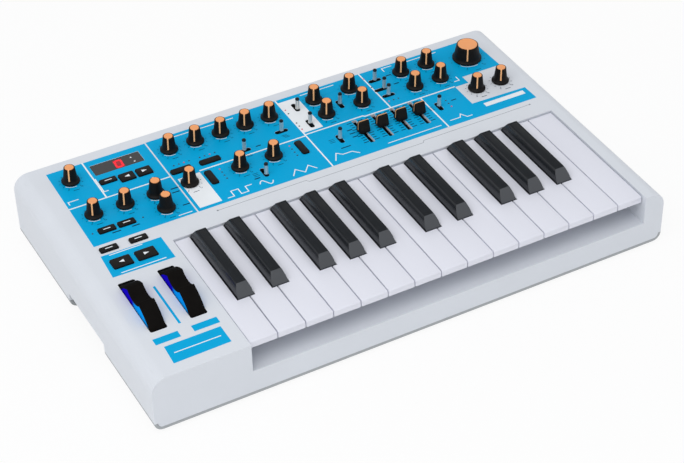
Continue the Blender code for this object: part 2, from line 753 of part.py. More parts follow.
def white_profile():
    """A white key from the side: a thin lip in front, a deeper body and the pivot notch."""
    radius, lip_bottom = KEY_EDGE_RADIUS, KEY_TOP - KEY_FRONT_THICKNESS
    lip_end = KEY_FRONT + KEY_LIP_LENGTH
    points = [(KEY_FRONT, lip_bottom), (lip_end - KEY_LIP_SLOPE, lip_bottom)]
    points += [(lip_end, KEY_TOP - KEY_DEPTH), *tail_underside(), *tail_top()]
    points += arc((KEY_FRONT + radius, KEY_TOP - radius), radius, 90, 180, 3)
    return points


def black_profile():
    """A black key from the side: sloping ends, straight top and a low tail under the panel."""
    top, edge = KEY_TOP + BLACK_HEIGHT, BLACK_TOP_EDGE
    front, rear = BLACK_FRONT + BLACK_FRONT_SLOPE, BLACK_REAR - BLACK_REAR_SLOPE
    points = [(BLACK_FRONT, KEY_TOP - 0.5 * KEY_DEPTH), (BLACK_FRONT + 2 * edge, KEY_TOP - KEY_DEPTH)]
    points += [*tail_underside(), *tail_top(), (rear, top - edge / 2), (rear - edge, top)]
    points += [(front + edge, top), (front, top - edge / 2), (BLACK_FRONT, KEY_TOP)]
    return points


def black_section():
    """A black key from the front: upright foot, leaning flanks and round shoulders."""
    foot, shoulder, top = BLACK_BASE_WIDTH / 2, BLACK_SHOULDER_WIDTH / 2, BLACK_TOP_WIDTH / 2
    crown = KEY_TOP + BLACK_HEIGHT
    right = [(foot, KEY_TOP - 2 * KEY_DEPTH), (foot, KEY_TOP + BLACK_ROUNDING)]
    right += [(shoulder, crown - 2 * BLACK_ROUNDING), (top - BLACK_ROUNDING, crown + BLACK_ROUNDING)]
    return right + [(-x, z) for x, z in reversed(right)]


def black_centres():
    """(name, middle) of every black key, pairs and trios in turn."""
    shifts = ((1, -PAIR_SHIFT), (2, PAIR_SHIFT), (4, -TRIO_SHIFT), (5, 0), (6, TRIO_SHIFT))
    places = []
    for octave in range(WHITE_COUNT // 7):
        for boundary, shift in shifts:
            places.append(KEYS_LEFT + (7 * octave + boundary) * WHITE_PITCH + shift)
    return [(f"black_key_{i + 1:02}", x) for i, x in enumerate(places)]


def white_plan(left, right, notches):
    """A white key from above, given how far its tail is cut in on the left and the right."""
    notch_front = BLACK_FRONT - BLACK_CLEARANCE
    rear = KEY_REAR + 0.001
    front = KEY_FRONT - 0.001
    tail_left, tail_right = left + notches[0], right - notches[1]
    points = [(left, front), (right, front), (right, notch_front)]
    points += [(tail_right, notch_front), (tail_right, rear), (tail_left, rear), (tail_left, notch_front)]
    points += [(left, notch_front)]
    return [p for i, p in enumerate(points) if p != points[i - 1]]


def hollow(name, centre, width, front, keybed):
    """The hollow under a key, open below, between its side walls."""
    rear = PIVOT_Y - TAIL_FROM_PIVOT - KEY_WALL
    low = (centre - width / 2, front, KEY_TOP - 2 * KEY_DEPTH)
    high = (centre + width / 2, rear, KEY_TOP - KEY_ROOF)
    return add_helper(f"{name}_hollow", box_mesh(f"{name}_hollow", low, high), parent=keybed)


def guide_places():
    """(name, middle, front) of each key's guide tongue on the chassis."""
    front = KEY_FRONT + KEY_LIP_LENGTH + KEY_WALL + GUIDE_FROM_WALL
    whites = [(name, tail, front) for name, _, _, _, tail in white_places()]
    front = BLACK_FRONT + 2 * KEY_WALL + GUIDE_FROM_WALL
    blacks = [(name, x, front) for name, x in black_centres()]
    return whites + blacks


def white_places():
    """(name, left, right, notches, middle of the tail) of every white key."""
    blacks = [x for _, x in black_centres()]
    reach = BLACK_BASE_WIDTH / 2 + BLACK_CLEARANCE
    places = []
    for i in range(WHITE_COUNT):
        left = KEYS_LEFT + i * WHITE_PITCH + WHITE_GAP / 2
        right = left + WHITE_PITCH - WHITE_GAP
        middle = (left + right) / 2
        cut_left = max([0] + [x + reach - left for x in blacks if x < middle])
        cut_right = max([0] + [right - x + reach for x in blacks if x > middle])
        tail = (left + cut_left + right - cut_right) / 2
        places.append((f"white_key_{i + 1:02}", left, right, (cut_left, cut_right), tail))
    return places


def keys(keybed):
    """Every key is its side view extruded, trimmed to its plan or its section, and hollow below."""
    pivot = Matrix.Translation((0, -PIVOT_Y, -PIVOT_Z))
    height = 4 * KEY_DEPTH
    for name, left, right, notches, tail in white_places():
        middle = (left + right) / 2
        side = flat_mesh(name, white_profile(), right - left + 0.002, ALONG_X)
        obj = add_part(name, side, "key_white", (middle, PIVOT_Y, PIVOT_Z), keybed)
        side.transform(pivot)
        plan = flat_mesh(f"{name}_plan", white_plan(left, right, notches), height)
        combine(obj, "INTERSECT", add_helper(f"{name}_plan", plan, (0, 0, KEY_TOP), keybed))
        width = right - left - notches[0] - notches[1] - 2 * KEY_WALL
        front = KEY_FRONT + KEY_LIP_LENGTH + KEY_WALL
        combine(obj, "DIFFERENCE", hollow(name, tail, width, front, keybed))
    for name, x in black_centres():
        side = flat_mesh(name, black_profile(), BLACK_BASE_WIDTH + 0.002, ALONG_X)
        obj = add_part(name, side, "key_black", (x, PIVOT_Y, PIVOT_Z), keybed)
        side.transform(pivot)
        section = flat_mesh(f"{name}_section", black_section(), FAR, ALONG_Y)
        combine(obj, "INTERSECT", add_helper(f"{name}_section", section, (x, 0, 0), keybed))
        width = BLACK_BASE_WIDTH - 2 * KEY_WALL
        combine(obj, "DIFFERENCE", hollow(name, x, width, BLACK_FRONT + 2 * KEY_WALL, keybed))


def key_drop(y):
    """How far a fully pressed key's underside has gone down at that distance from the front."""
    return (PIVOT_Y - y) * math.tan(math.radians(KEY_DIP_ANGLE))


def under_pressed_key(y):
    """The height just below a fully pressed key at that distance from the front."""
    return KEY_TOP - KEY_DEPTH - key_drop(y) - RUNNING_GAP


def chassis_profile():
    """The chassis from the side: folded plate, felt rail, pivot rail on its rib and rear wall."""
    bottom, plate = CHASSIS_BOTTOM, CHASSIS_BOTTOM + CHASSIS_PLATE
    front = -HALF_DEPTH + SHELF_DEPTH + CHASSIS_PLATE
    rail_front = BLACK_FRONT + RAIL_FROM_BLACK_FRONT
    rail_rear = rail_front + RAIL_LENGTH
    wall, rib = CHASSIS_REAR - CHASSIS_PLATE, RIB_THICKNESS / 2
    lean = math.degrees(math.asin(rib / PIVOT_RADIUS))
    points = [(front, bottom), (CHASSIS_REAR, bottom), (CHASSIS_REAR, PIVOT_Z), (wall, PIVOT_Z)]
    points += [(wall, plate), (PIVOT_Y + rib, plate)]
    points += arc((PIVOT_Y, PIVOT_Z), PIVOT_RADIUS, lean - 90, 270 - lean, 10)
    points += [(PIVOT_Y - rib, plate), (rail_rear, plate), (rail_rear, under_pressed_key(rail_front))]
    points += [(rail_front, under_pressed_key(rail_front)), (rail_front, plate)]
    points += [(front + CHASSIS_PLATE, plate), (front + CHASSIS_PLATE, under_pressed_key(front))]
    points += [(front, under_pressed_key(front))]
    return points


def key_chassis(keybed):
    """The keybed's frame, with a guide tongue inside each key."""
    width = KEYS_RIGHT - KEYS_LEFT - WHITE_GAP
    mesh = flat_mesh("key_chassis", chassis_profile(), width, ALONG_X)
    middle = (KEYS_LEFT + KEYS_RIGHT) / 2
    obj = add_part("key_chassis", mesh, "chassis", (middle, 0, 0), keybed)
    guides = helper_group("key_guides")
    for name, x, front in guide_places():
        top = KEY_TOP - KEY_FRONT_THICKNESS - key_drop(front) - 0.001
        low = (x - GUIDE_THICKNESS / 2, front, CHASSIS_BOTTOM + 0.001)
        high = (x + GUIDE_THICKNESS / 2, front + GUIDE_LENGTH, top)
        guide = box_mesh(f"{name}_guide", low, high)
        add_helper(f"{name}_guide", guide, parent=keybed, group=guides)
    combine(obj, "UNION", guides)
    return obj


# Controls


def wheel_outline():
    """A wheel from the side: a sector of a disc with a finger dip in the middle of its rim."""
    reach = WHEEL_RADIUS - DIP_DEPTH + DIP_RADIUS
    cosine = (reach**2 + WHEEL_RADIUS**2 - DIP_RADIUS**2) / (2 * reach * WHEEL_RADIUS)
    half = math.degrees(math.acos(cosine))
    rim_z = WHEEL_RADIUS * math.cos(math.radians(half))
    rim_y = WHEEL_RADIUS * math.sin(math.radians(half))
    dip = math.degrees(math.atan2(rim_z - reach, rim_y))
    end = 90 - WHEEL_SWEEP
    points = arc((0, 0), WHEEL_RADIUS, end, 90 - half, 7)
    points += arc((0, reach), DIP_RADIUS, dip, -180 - dip, 6)[1:-1]
    points += arc((0, 0), WHEEL_RADIUS, 90 + half, 180 - end, 7)
    points += arc((0, 0), WHEEL_HUB_RADIUS, 195, 345, 8)
    return points


def wheels():
    """The pitch and modulation wheels on their common axle."""
    y, z = wheel_axle_place()
    for name, x in (("pitch_wheel", PITCH_WHEEL_X), ("mod_wheel", MOD_WHEEL_X)):
        mesh = flat_mesh(name, wheel_outline(), WHEEL_WIDTH, ALONG_X)
        obj = add_part(name, mesh, "rubber", (x, y, z))
        bore = flat_mesh(f"{name}_bore", round_outline(WHEEL_BORE_RADIUS, 12), 2 * WHEEL_WIDTH, ALONG_X)
        combine(obj, "DIFFERENCE", add_helper(f"{name}_bore", bore, (x, y, z)))


def knob_profile(height, skirt, body, top):
    """Half of a knob's section, from the top of its cap round to the end of its bore."""
    bore, depth = SHAFT_RADIUS + RUNNING_GAP, SHAFT_HEIGHT + RUNNING_GAP - KNOB_GAP
    return (
        (0, height),
        (top, height),
        (body, FLARE_HEIGHT),
        (skirt, SKIRT_HEIGHT),
        (skirt, 0),
        (bore, 0),
        (bore, depth),
        (0, depth),
    )


def knobs(panel):
    """The knobs stand on their shafts, just clear of the panel."""
    sizes = (SMALL_KNOB_HEIGHT, SMALL_KNOB_SKIRT, SMALL_KNOB_BODY, SMALL_KNOB_TOP)
    small = profile_mesh("small_knob", knob_profile(*sizes))
    for name, place in SMALL_KNOBS.items():
        knob = add_part(name, small, "knob_black", (*placed(*place), KNOB_GAP), panel)
        turn_about_z(knob, 10)
    sizes = (BIG_KNOB_HEIGHT, BIG_KNOB_SKIRT, BIG_KNOB_BODY, BIG_KNOB_TOP)
    big = profile_mesh("big_knob", knob_profile(*sizes))
    for name, place in BIG_KNOB.items():
        knob = add_part(name, big, "knob_black", (*placed(*place), KNOB_GAP), panel)
        turn_about_z(knob, 16)


def fader_outline():
    """A fader cap from the side: hollowed flanks that rise to a ridge."""
    foot, ridge, top = FADER_CAP_LENGTH / 2, FADER_RIDGE_LENGTH / 2, FADER_CAP_HEIGHT
    right = [(foot, 0), (foot, 0.23 * top), (0.7 * ridge + 0.3 * foot, 0.62 * top), (ridge, top)]
    return right + [(-y, z) for y, z in reversed(right)]


def fader_front():
    """A fader cap from the front: upright foot and leaning ends."""
    foot, ridge, edge = FADER_CAP_WIDTH / 2, FADER_RIDGE_WIDTH / 2, FADER_CAP_GAP
    right = [(foot, -edge), (foot, edge), (ridge, FADER_CAP_HEIGHT + edge)]
    return right + [(-x, z) for x, z in reversed(right)]


def faders(panel):
    """Each fader cap is one piece with the stem that runs in its slot."""
    thick, long = FADER_STEM
    for name, (x, y) in zip(FADERS, fader_places()):
        place = (x, y, FADER_CAP_GAP)
        cap = flat_mesh(name, fader_outline(), FADER_CAP_WIDTH, ALONG_X)
        obj = add_part(name, cap, "knob_black", place, panel)
        flanks = flat_mesh(f"{name}_flanks", fader_front(), FAR, ALONG_Y)
        combine(obj, "INTERSECT", add_helper(f"{name}_flanks", flanks, place, panel))
        low = (-thick / 2, -long / 2, -FADER_STEM_DEPTH - FADER_CAP_GAP)
        stem = box_mesh(f"{name}_stem", low, (thick / 2, long / 2, FADER_CAP_GAP))
        combine(obj, "UNION", add_helper(f"{name}_stem", stem, place, panel))


def rib_mesh(name, start, end, low, high):
    """A rib of the button mat round the line between two places."""
    (x0, y0), (x1, y1) = placed(*start), placed(*end)
    half = MAT_RIB_WIDTH / 2
    return box_mesh(name, (x0 - half, y0 - half, low), (x1 + half, y1 + half, high))


def button_mat(panel):
    """One soft moulding under the panel that carries every button cap."""
    top = -CASE_WALL - JOINT_GAP
    low = top - MAT_THICKNESS
    spine = rib_mesh("button_mat", *MAT_RIBS[0], low, top)
    obj = add_part("button_mat", spine, "rubber", parent=panel)
    group = helper_group("mat_pieces")
    for i, (start, end) in enumerate(MAT_RIBS[1:]):
        rib = rib_mesh(f"mat_rib_{i}", start, end, low, top)
        add_helper(f"mat_rib_{i}", rib, parent=panel, group=group)
    for i, (x, y, width, length) in enumerate(BUTTONS):
        outline = rounded_outline(width, length, BUTTON_CORNER)
        cap = flat_mesh(f"button_{i}", outline, BUTTON_RISE - low)
        cap.transform(Matrix.Translation((0, 0, (BUTTON_RISE + low) / 2)))
        add_helper(f"button_{i}", cap, (*placed(x, y), 0), panel, group)
    combine(obj, "UNION", group)
    return obj


def board_outline():
    """The circuit board from above: a wide field with an arm to the left, beside the keys."""
    left, right = -HALF_WIDTH + BOARD_SIDE_GAP, HALF_WIDTH - BOARD_SIDE_GAP
    rear, front = CASE_DEPTH - BOARD_REAR_GAP, KEYBED_REAR + BOARD_FRONT_GAP
    arm_front, arm_right = WHEELS_REAR + BOARD_ARM_GAP, KEYS_LEFT - WELL_SIDE_GAP - 2 * CASE_WALL
    arm = [(left, arm_front), (arm_right, arm_front), (arm_right, front)]
    return arm + [(right, front), (right, rear), (left, rear)]


def control_board(panel):
    """The circuit board with its pots, slide switches, fader bodies, display and rear sockets."""
    base = -BOARD_BELOW_PANEL
    plate = flat_mesh("control_board", board_outline(), BOARD_THICKNESS)
    plate.transform(Matrix.Translation((0, 0, base - BOARD_THICKNESS / 2)))
    obj = add_part("control_board", plate, "board", parent=panel)
    group = helper_group("board_pieces")
    sunk = base - BOARD_THICKNESS / 2

    def stand(name, outline, x, y, bottom, top):
        mesh = flat_mesh(name, outline, top - bottom)
        mesh.transform(Matrix.Translation((0, 0, (top + bottom) / 2)))
        add_helper(name, mesh, (x, y, 0), panel, group)

    for name, place in {**SMALL_KNOBS, **BIG_KNOB}.items():
        x, y = placed(*place)
        stand(f"{name}_pot", rectangle(POT_BODY, POT_BODY), x, y, sunk, base + BODY_HEIGHT)
        stand(f"{name}_shaft", round_outline(SHAFT_RADIUS, 6), x, y, sunk, SHAFT_HEIGHT)
    for i, (*place, across, throws) in enumerate(SWITCHES):
        x, y = placed(*place)
        length, width = SWITCH_SLOT_LENGTH + SWITCH_BODY_MARGIN, SWITCH_SLOT_WIDTH + SWITCH_BODY_MARGIN
        size = (length, width) if across else (width, length)
        stand(f"switch_body_{i}", rectangle(*size), x, y, sunk, base + BODY_HEIGHT)
        shift = throws * SWITCH_THROW
        lever_x, lever_y = (x + shift, y) if across else (x, y + shift)
        lever = round_outline(SWITCH_LEVER_RADIUS, 8)
        stand(f"switch_lever_{i}", lever, lever_x, lever_y, sunk, SWITCH_LEVER_HEIGHT)
    for i, (x, y) in enumerate(fader_places()):
        stand(f"fader_body_{i}", rectangle(*FADER_BODY), x, y, sunk, base + BODY_HEIGHT)
    width, length = (size - 2 * BUTTON_GAP for size in DISPLAY_SIZE)
    stand("display", rectangle(width, length), *placed(*DISPLAY_CENTRE), sunk, -DISPLAY_SUNK)
    combine(obj, "UNION", group)
    combine(obj, "UNION", rear_sockets())
    tracks = helper_group("fader_tracks")
    side = FADER_STEM[0] / 2 + RUNNING_GAP
    low = (-side, -FADER_SLOT_LENGTH / 2, -FADER_STEM_DEPTH - RUNNING_GAP)
    high = (side, FADER_SLOT_LENGTH / 2, 0)
    for i, place in enumerate(fader_places()):
        track = box_mesh(f"fader_track_{i}", low, high)
        add_helper(f"fader_track_{i}", track, (*place, 0), panel, tracks)
    combine(obj, "DIFFERENCE", tracks)
    combine(obj, "DIFFERENCE", socket_bores())
    return obj


def rear_sockets():
    """The socket bodies under the board's rear edge, with their noses in the rear wall."""
    group = helper_group("rear_sockets")
    z = socket_height()
    wall_inside = HALF_DEPTH - CASE_WALL
    for i, (kind, x) in enumerate(socket_places()):
        half = max(abs(a) for a, _ in socket_outline(kind)) + SOCKET_WALL
        low = (x - half, wall_inside - SOCKET_DEPTH, z - half)
        high = (x + half, wall_inside - JOINT_GAP, z + SOCKET_BELOW_BOARD + BOARD_THICKNESS / 2)
        add_helper(f"socket_body_{i}", box_mesh(f"socket_body_{i}", low, high), group=group)
        nose = flat_mesh(f"socket_nose_{i}", socket_outline(kind, SOCKET_WALL / 2), 2 * CASE_WALL, ALONG_Y)
        place = (x, HALF_DEPTH - CASE_WALL - NOSE_SUNK, z)
        add_helper(f"socket_nose_{i}", nose, place, group=group)
    return group


def socket_bores():
    """What the plugs go into."""
    group = helper_group("socket_bores")
    depth = SOCKET_DEPTH - SOCKET_END
    middle = HALF_DEPTH - CASE_WALL - depth / 2 + FAR / 2
    for i, (kind, x) in enumerate(socket_places()):
        bore = flat_mesh(f"socket_bore_{i}", socket_outline(kind), depth + FAR, ALONG_Y)
        add_helper(f"socket_bore_{i}", bore, (x, middle, socket_height()), group=group)
    return group


def clear_scene():
    """Starts from an empty scene with the two collections."""
    for obj in list(bpy.data.objects):
        bpy.data.objects.remove(obj)
    for collection in (parts, cutters):
        bpy.context.scene.collection.children.link(collection)


def main():
    clear_scene()
    panel = bpy.data.objects.new("panel_frame", None)
    parts.objects.link(panel)
    panel.location = (0, -HALF_DEPTH, CASE_FRONT_HEIGHT)
    panel.rotation_euler = (TILT, 0, 0)
    keybed = bpy.data.objects.new("keybed_frame", None)
    parts.objects.link(keybed)
    keybed.parent = panel
    keybed.location = (0, HALF_DEPTH, -CASE_FRONT_HEIGHT)
    bpy.context.view_layer.update()
    top_case(panel, keybed)
    bottom_case()
    key_chassis(keybed)
    keys(keybed)
    control_board(panel)
    button_mat(panel)
    knobs(panel)
    faders(panel)
    wheels()


main()
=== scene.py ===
"""Finished surfaces for a 25-key analog synthesizer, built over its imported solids."""

import json
from math import atan2, copysign, cos, pi, radians, sin, tau

import bmesh
import bpy
from bpy.props import FloatProperty, FloatVectorProperty, IntProperty, PointerProperty
from bpy.types import Operator, Panel, PropertyGroup
from mathutils import Matrix, Vector

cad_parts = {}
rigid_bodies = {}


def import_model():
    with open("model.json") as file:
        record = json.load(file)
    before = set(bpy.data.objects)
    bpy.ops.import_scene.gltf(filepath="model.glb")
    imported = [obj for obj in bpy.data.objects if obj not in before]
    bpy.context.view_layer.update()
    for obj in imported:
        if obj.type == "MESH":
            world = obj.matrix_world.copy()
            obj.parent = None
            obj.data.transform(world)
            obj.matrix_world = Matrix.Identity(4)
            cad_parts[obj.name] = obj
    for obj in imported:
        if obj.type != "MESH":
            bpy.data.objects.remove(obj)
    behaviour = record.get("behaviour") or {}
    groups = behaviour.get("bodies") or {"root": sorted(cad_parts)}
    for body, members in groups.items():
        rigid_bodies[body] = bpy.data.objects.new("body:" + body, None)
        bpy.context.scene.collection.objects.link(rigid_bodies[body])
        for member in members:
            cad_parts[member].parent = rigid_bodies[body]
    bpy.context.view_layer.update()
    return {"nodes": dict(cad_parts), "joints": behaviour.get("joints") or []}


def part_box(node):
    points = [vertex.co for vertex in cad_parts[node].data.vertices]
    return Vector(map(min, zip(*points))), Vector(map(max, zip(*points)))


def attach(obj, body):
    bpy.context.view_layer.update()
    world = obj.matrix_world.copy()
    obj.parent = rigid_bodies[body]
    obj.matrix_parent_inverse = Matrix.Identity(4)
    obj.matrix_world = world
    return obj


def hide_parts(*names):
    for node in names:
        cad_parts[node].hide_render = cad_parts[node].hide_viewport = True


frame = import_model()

bl_info = {
    "name": "Analog synthesizer",
    "version": (1, 0, 0),
    "blender": (4, 5, 0),
    "location": "View3D > Sidebar > Synthesizer",
    "description": "Case, panel print, keys, knobs and other finished pieces of an analog synthesizer",
    "category": "Object",
}


def mm(value):
    """Lengths typed in millimetres as metres, also in tuples. Words and yes or no stay."""
    if isinstance(value, tuple):
        return tuple(mm(part) for part in value)
    return value if isinstance(value, (str, bool)) else value / 1000


JOINTS = {joint["child"]: joint for joint in frame["joints"]}
CASE_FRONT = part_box("top_case")[0].y
KNOBS, WHITE_KEYS, BLACK_KEYS, FADERS = (
    sorted(name for name in JOINTS if part in name) for part in ("_knob", "white_key", "black_key", "_fader")
)
FADERS.sort(key=lambda name: JOINTS[name]["pos_m"][0])
BIG_KNOB = "filter_cutoff_knob"
WHEELS = ("pitch_wheel", "mod_wheel")

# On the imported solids, knobs and faders stand this far above the panel and the keys lie this far below it
KNOB_GAP = mm(0.5)
FADER_GAP = mm(1)
KEYS_BELOW_PANEL = mm(1.3)
BOARD_DEPTH = mm(12)
BOARD_THICKNESS = mm(1.6)

# Openings in the panel: width, length and corner radius, and their distance from its front edge
WHEEL_SLOT = mm((14, 62, 1.2))
WHEEL_FROM_FRONT = mm(78.6)
FADER_SLOT = mm((4.2, 34, 0.6))
FADER_FROM_FRONT = mm(188.9)
SWITCH_SLOT = mm((12, 4.2))
SWITCH_CORNER = mm(2)
KNOB_HOLE = mm((3.8, 4.2))
HOLE_DEPTH = mm(10)
HOLE_ABOVE = mm(1)
HOLE_MARGIN = mm(0.04)

# Knobs: radius of the skirt, the body's foot and its top, height, and radius of the cap
SMALL_KNOB = mm((7.6, 5.6, 4.6, 14.5, 3.7))
LARGE_KNOB = mm((13, 11.2, 9.6, 15, 8.6))
KNOB_BORE = mm((3.4, 10.6))
SKIRT_TOP = mm(5.6)
# Print round a knob: distance to the marks, the bow, the numbers and the rule
SMALL_DIAL = mm((9, 8, 11.7, 12.8))
LARGE_DIAL = mm((15, 13.4, 18, 20))
DIAL_START, DIAL_END = 210, 150

# Fader caps: width, length and height of each level, and the same of the line over the ridge
FADER_LEVELS = mm((
    (9.6, 8.8, 0), (10, 9.2, 0.3), (10, 9.2, 2.2), (10, 7.6, 4), (10, 5.8, 5.8), (10, 4.4, 7.6),
    (9.8, 3.6, 8.8), (9.1, 3, 9.7), (7.8, 2.2, 10.1),
))
FADER_LINE = mm(((10.3, 0.6, 2.2), (10.3, 0.6, 8), (9.9, 0.6, 9.2), (8.3, 0.6, 10.3)))
FADER_STEM = mm(((-0.6, -2, -9.5), (0.6, 2, 0.5)))

# Turned pieces, as radius and height above the panel
LEVER_PROFILE = mm((
    (0, 12.2), (0.9, 12.2), (1.5, 11.9), (1.78, 11.4), (1.78, 10.8), (1.72, 10.4), (1.72, 2), (1.9, 1.6),
    (1.9, -3), (0, -3),
))
LEVER_BRIGHT = mm((0.4, 10.6))
LAMP_PROFILE = mm(((0, 0.6), (0.4, 0.5), (0.7, 0.2), (0.8, -0.1), (0, -0.1)))

# Buttons: their gap and rise, their edge as inset and height from the top, and the signs on them
BUTTON_GAP = mm(0.3)
BUTTON_RISE = mm(1.3)
BUTTON_EDGE = mm(((0, -4.3), (0, -0.4), (0.12, -0.1), (0.4, 0)))
LONG_BUTTON = mm(18)
BUTTON_CORNER, LONG_BUTTON_CORNER = mm((1.1, 1.8))
BAR_SIGN = mm((6.2, 0.8, 0.2))
ARROW_SIGNS = {"left": mm(((2, -1.6), (2, 1.6), (-2.4, 0))), "right": mm(((-2, -1.6), (-2, 1.6), (2.4, 0)))}

DISPLAY_CENTRE = mm((-145.8, 248.7))
DISPLAY_SIZE = mm((43.7, 14.3))
DISPLAY_CORNER = mm(0.6)
# The digit: its middle, its plate, a bar's length and width, and each bar's place from the middle,
# whether it is level and whether it is lit
DIGIT_MIDDLE = mm((-144.6, 247.9))
DIGIT_PLATE = mm((7.8, 11.2, 0.8))
DIGIT_BAR = mm((4.4, 1.7))
DIGIT_BARS = mm((
    (0.4, 4.3, True, True), (0, 0, True, False), (-0.4, -4.3, True, True), (-2.5, 2.15, False, True),
    (2.9, 2.15, False, True), (-2.9, -2.15, False, True), (2.5, -2.15, False, True),
))
# Arrow lamps of the display: place, and height of the tip and the foot
DISPLAY_ARROWS = mm(((-132.6, 251.1, 0.9, -0.7), (-131.6, 244.7, -0.9, 0.7)))

# Slide switches: place on the panel, whether the slot runs left to right, and how far along it the lever is
SWITCHES = mm((
    (-46, 213.3, True, 0), (-6.6, 222, True, 0), (19.8, 246.5, False, -3.3), (19.8, 220.1, False, 0),
    (55.4, 232.2, False, 0), (31.6, 188.8, False, 0), (-44.7, 178.9, False, -3.3), (99, 248.4, True, 0),
    (97, 234.1, True, 3.3), (98.7, 223.5, True, 0), (128.2, 188.1, False, 0),
))
LABELLED_SWITCHES = SWITCHES[:2] + SWITCHES[4:7] + SWITCHES[10:]
# Buttons: place on the panel, width, length and the sign on the cap
BUTTONS = mm((
    (-161.4, 230.6, 14.5, 6, "bar"), (-145.7, 227.9, 13, 10, "left"), (-130.6, 227.9, 13, 10, "right"),
    (-187, 173.9, 14.5, 6.5, "bar"), (-170, 173.9, 14.5, 6.5, "bar"), (-195, 151.5, 15, 6, "bar"),
    (-169.9, 151.5, 15, 6, "bar"), (-192.7, 131.9, 16.6, 11.3, "left"),
    (-171.9, 131.9, 16.6, 11.3, "right"), (-103.2, 214.7, 18.5, 6.2, ""), (-77, 214.7, 18.5, 6.2, ""),
    (-85.7, 193.7, 6.2, 18.5, ""), (-2.2, 193.7, 6.2, 18.5, ""),
))

# Printed blue fields, as outlines on the panel
BLUE_FIELDS = mm((
    ((-203, 262.5), (-204.5, 159), (-115, 159), (-115, 262.5)),
    (
        (-113.7, 263), (-113.7, 159), (209, 159), (208.5, 176.5), (155.5, 178),
        (155.5, 206), (169, 206), (169, 216), (208, 216), (206.5, 264),
    ),
    ((-204.5, 145.8), (-206, 118.5), (-153.5, 117.5), (-153.5, 145)),
    ((-204, 29.4), (-205, 10), (-157.8, 10.8), (-157.8, 29.4)),
    ((-208.5, 40.4), (-208.5, 33.6), (-188, 33.6), (-188, 40.4)),
    ((-177, 40.4), (-177, 33.6), (-156, 33.6), (-156, 40.4)),
    ((-183.8, 94), (-183.8, 47), (-181.8, 47), (-181.8, 94)),
))
# Pale plates printed over the blue, corner to corner
PALE_PLATES = mm((
    ((8.5, 211), (27.5, 259)), ((-111, 162.5), (-91.2, 205)), ((164, 168.5), (204, 173.5)),
))
# White lines that part the fields, and finer ones: brackets, plain wave signs and title strips
FIELD_LINES = mm((
    ((-171.2, 263), (-171.2, 211.2)), ((-204, 211.2), (-115, 211.2)), ((-90.5, 206.6), (9, 206.6)),
    ((8.5, 263), (8.5, 159)), ((8.5, 208), (64, 208), (65.5, 206.6), (155.5, 206.6)),
    ((91.2, 263.5), (91.2, 206.6)), ((120.5, 206.6), (120.5, 159)),
))
FINE_LINES = mm((
    ((-166, 219), (-170, 219), (-170, 238)), ((-201, 216), (-201, 220), (-192, 220)),
    ((-198, 144), (-170, 144)), ((-198, 120.4), (-160, 120.4)), ((-130, 162), (-118, 162)),
    ((-86, 163), (-80, 163), (-80, 170), (-73.5, 170), (-73.5, 163), (-67, 163),
     (-67, 170), (-61, 170)),
    ((-26, 163), (-21, 170), (-15, 163), (-9, 170), (-4, 163)),
    ((14, 164), (19, 173), (23.5, 169), (32, 169), (37, 164)), ((64, 164), (116, 164)),
    ((126, 166), (136, 166), (138.5, 170), (142, 164), (147, 164)), ((-90, 259), (-34, 259)),
    ((31, 260), (64, 260)), ((135, 260), (168, 260)), ((-200, 20), (-162, 20)),
    ((113, 256), (113, 261), (123, 261)), ((159, 213), (164, 213), (164, 219)),
))
# Short dark bars beside buttons and switches
DARK_BARS = mm((
    (-185, 167.2, 7.5), (-168, 167.2, 6.5), (-121.5, 171.8, 6), (-122.5, 190.2, 6.5),
    (-121.5, 195.2, 6.5), (-56, 174, 5), (-35, 213, 4.5), (111, 249, 5),
    (111, 235, 5), (142, 190, 5), (42, 195, 5), (42, 190, 5), (42, 185, 5), (26, 176, 9),
))
# A thin line along the bare strip before the keys
STRIP_LINE = mm(((-100, 153), (-20, 153), (-18, 150.5), (90, 150.5), (92, 153), (198, 153)))
# Rows of indicator lamps: first place, step, and the lamps in order, a lit one as a star
LAMP_ROWS = mm((
    ((-106.1, 223), (4.6, 0), "oo*o"), ((-82.7, 222.8), (4.6, 0), "oo*o"),
    ((-75, 200.6), (0, -4.6), "*ooo"), ((-10.3, 200.6), (0, -4.8), "*ooo"),
    ((10.2, 247.1), (0, -5.8), "*o"), ((10, 226.2), (0, -5), "oo*"), ((91.5, 240.7), (0, 14.2), "o*"),
    ((94.6, 215.6), (4.6, 0), "*oo"), ((137.8, 192.7), (0, -4.8), "oo*"), ((-199.1, 174.4), (0, 0), "o"),
    ((-155.8, 174), (0, 0), "o"),
))
LINE_WIDTHS = mm((1.3, 0.9, 0.35))
# The sine wave sign: left end, middle line, width and height
SINE_SIGN = mm((-55, 166.5, 12, 7))
BAR_HEIGHT = mm(1.1)
# Short thin rules in place of labels: half a knob's, and the length and width of a switch's
KNOB_RULE = mm((2.6, 0.5))
SWITCH_RULE = mm((4.8, 0.45))


# Settings


def srgb(code):
    """A colour written as six hexadecimal digits, as linear red, green and blue."""
    shares = [int(code[i : i + 2], 16) / 255 for i in (0, 2, 4)]
    return tuple(s / 12.92 if s <= 0.04045 else ((s + 0.055) / 1.055) ** 2.4 for s in shares)


def number(label, text, default, **kind):
    return FloatProperty(name=label, description=text, default=default, **kind)


def length(label, text, default):
    return number(label, text, mm(default), unit="LENGTH", precision=4)


def angle(label, text, default):
    return number(label, text, radians(default), subtype="ANGLE")


def paint(label, default):
    text = f"Colour of the {label.lower()}"
    return FloatVectorProperty(name=label, description=text, default=srgb(default), subtype="COLOR", size=3)


class CaseSettings(PropertyGroup):
    slot_chamfer: length("Slot chamfer", "Small chamfer round every opening in the panel", 0.05)
    shell: paint("Upper shell", "DDE1E8")
    base: paint("Lower shell", "AAAEB1")
    inside: paint("Keybed frame", "6B6E73")


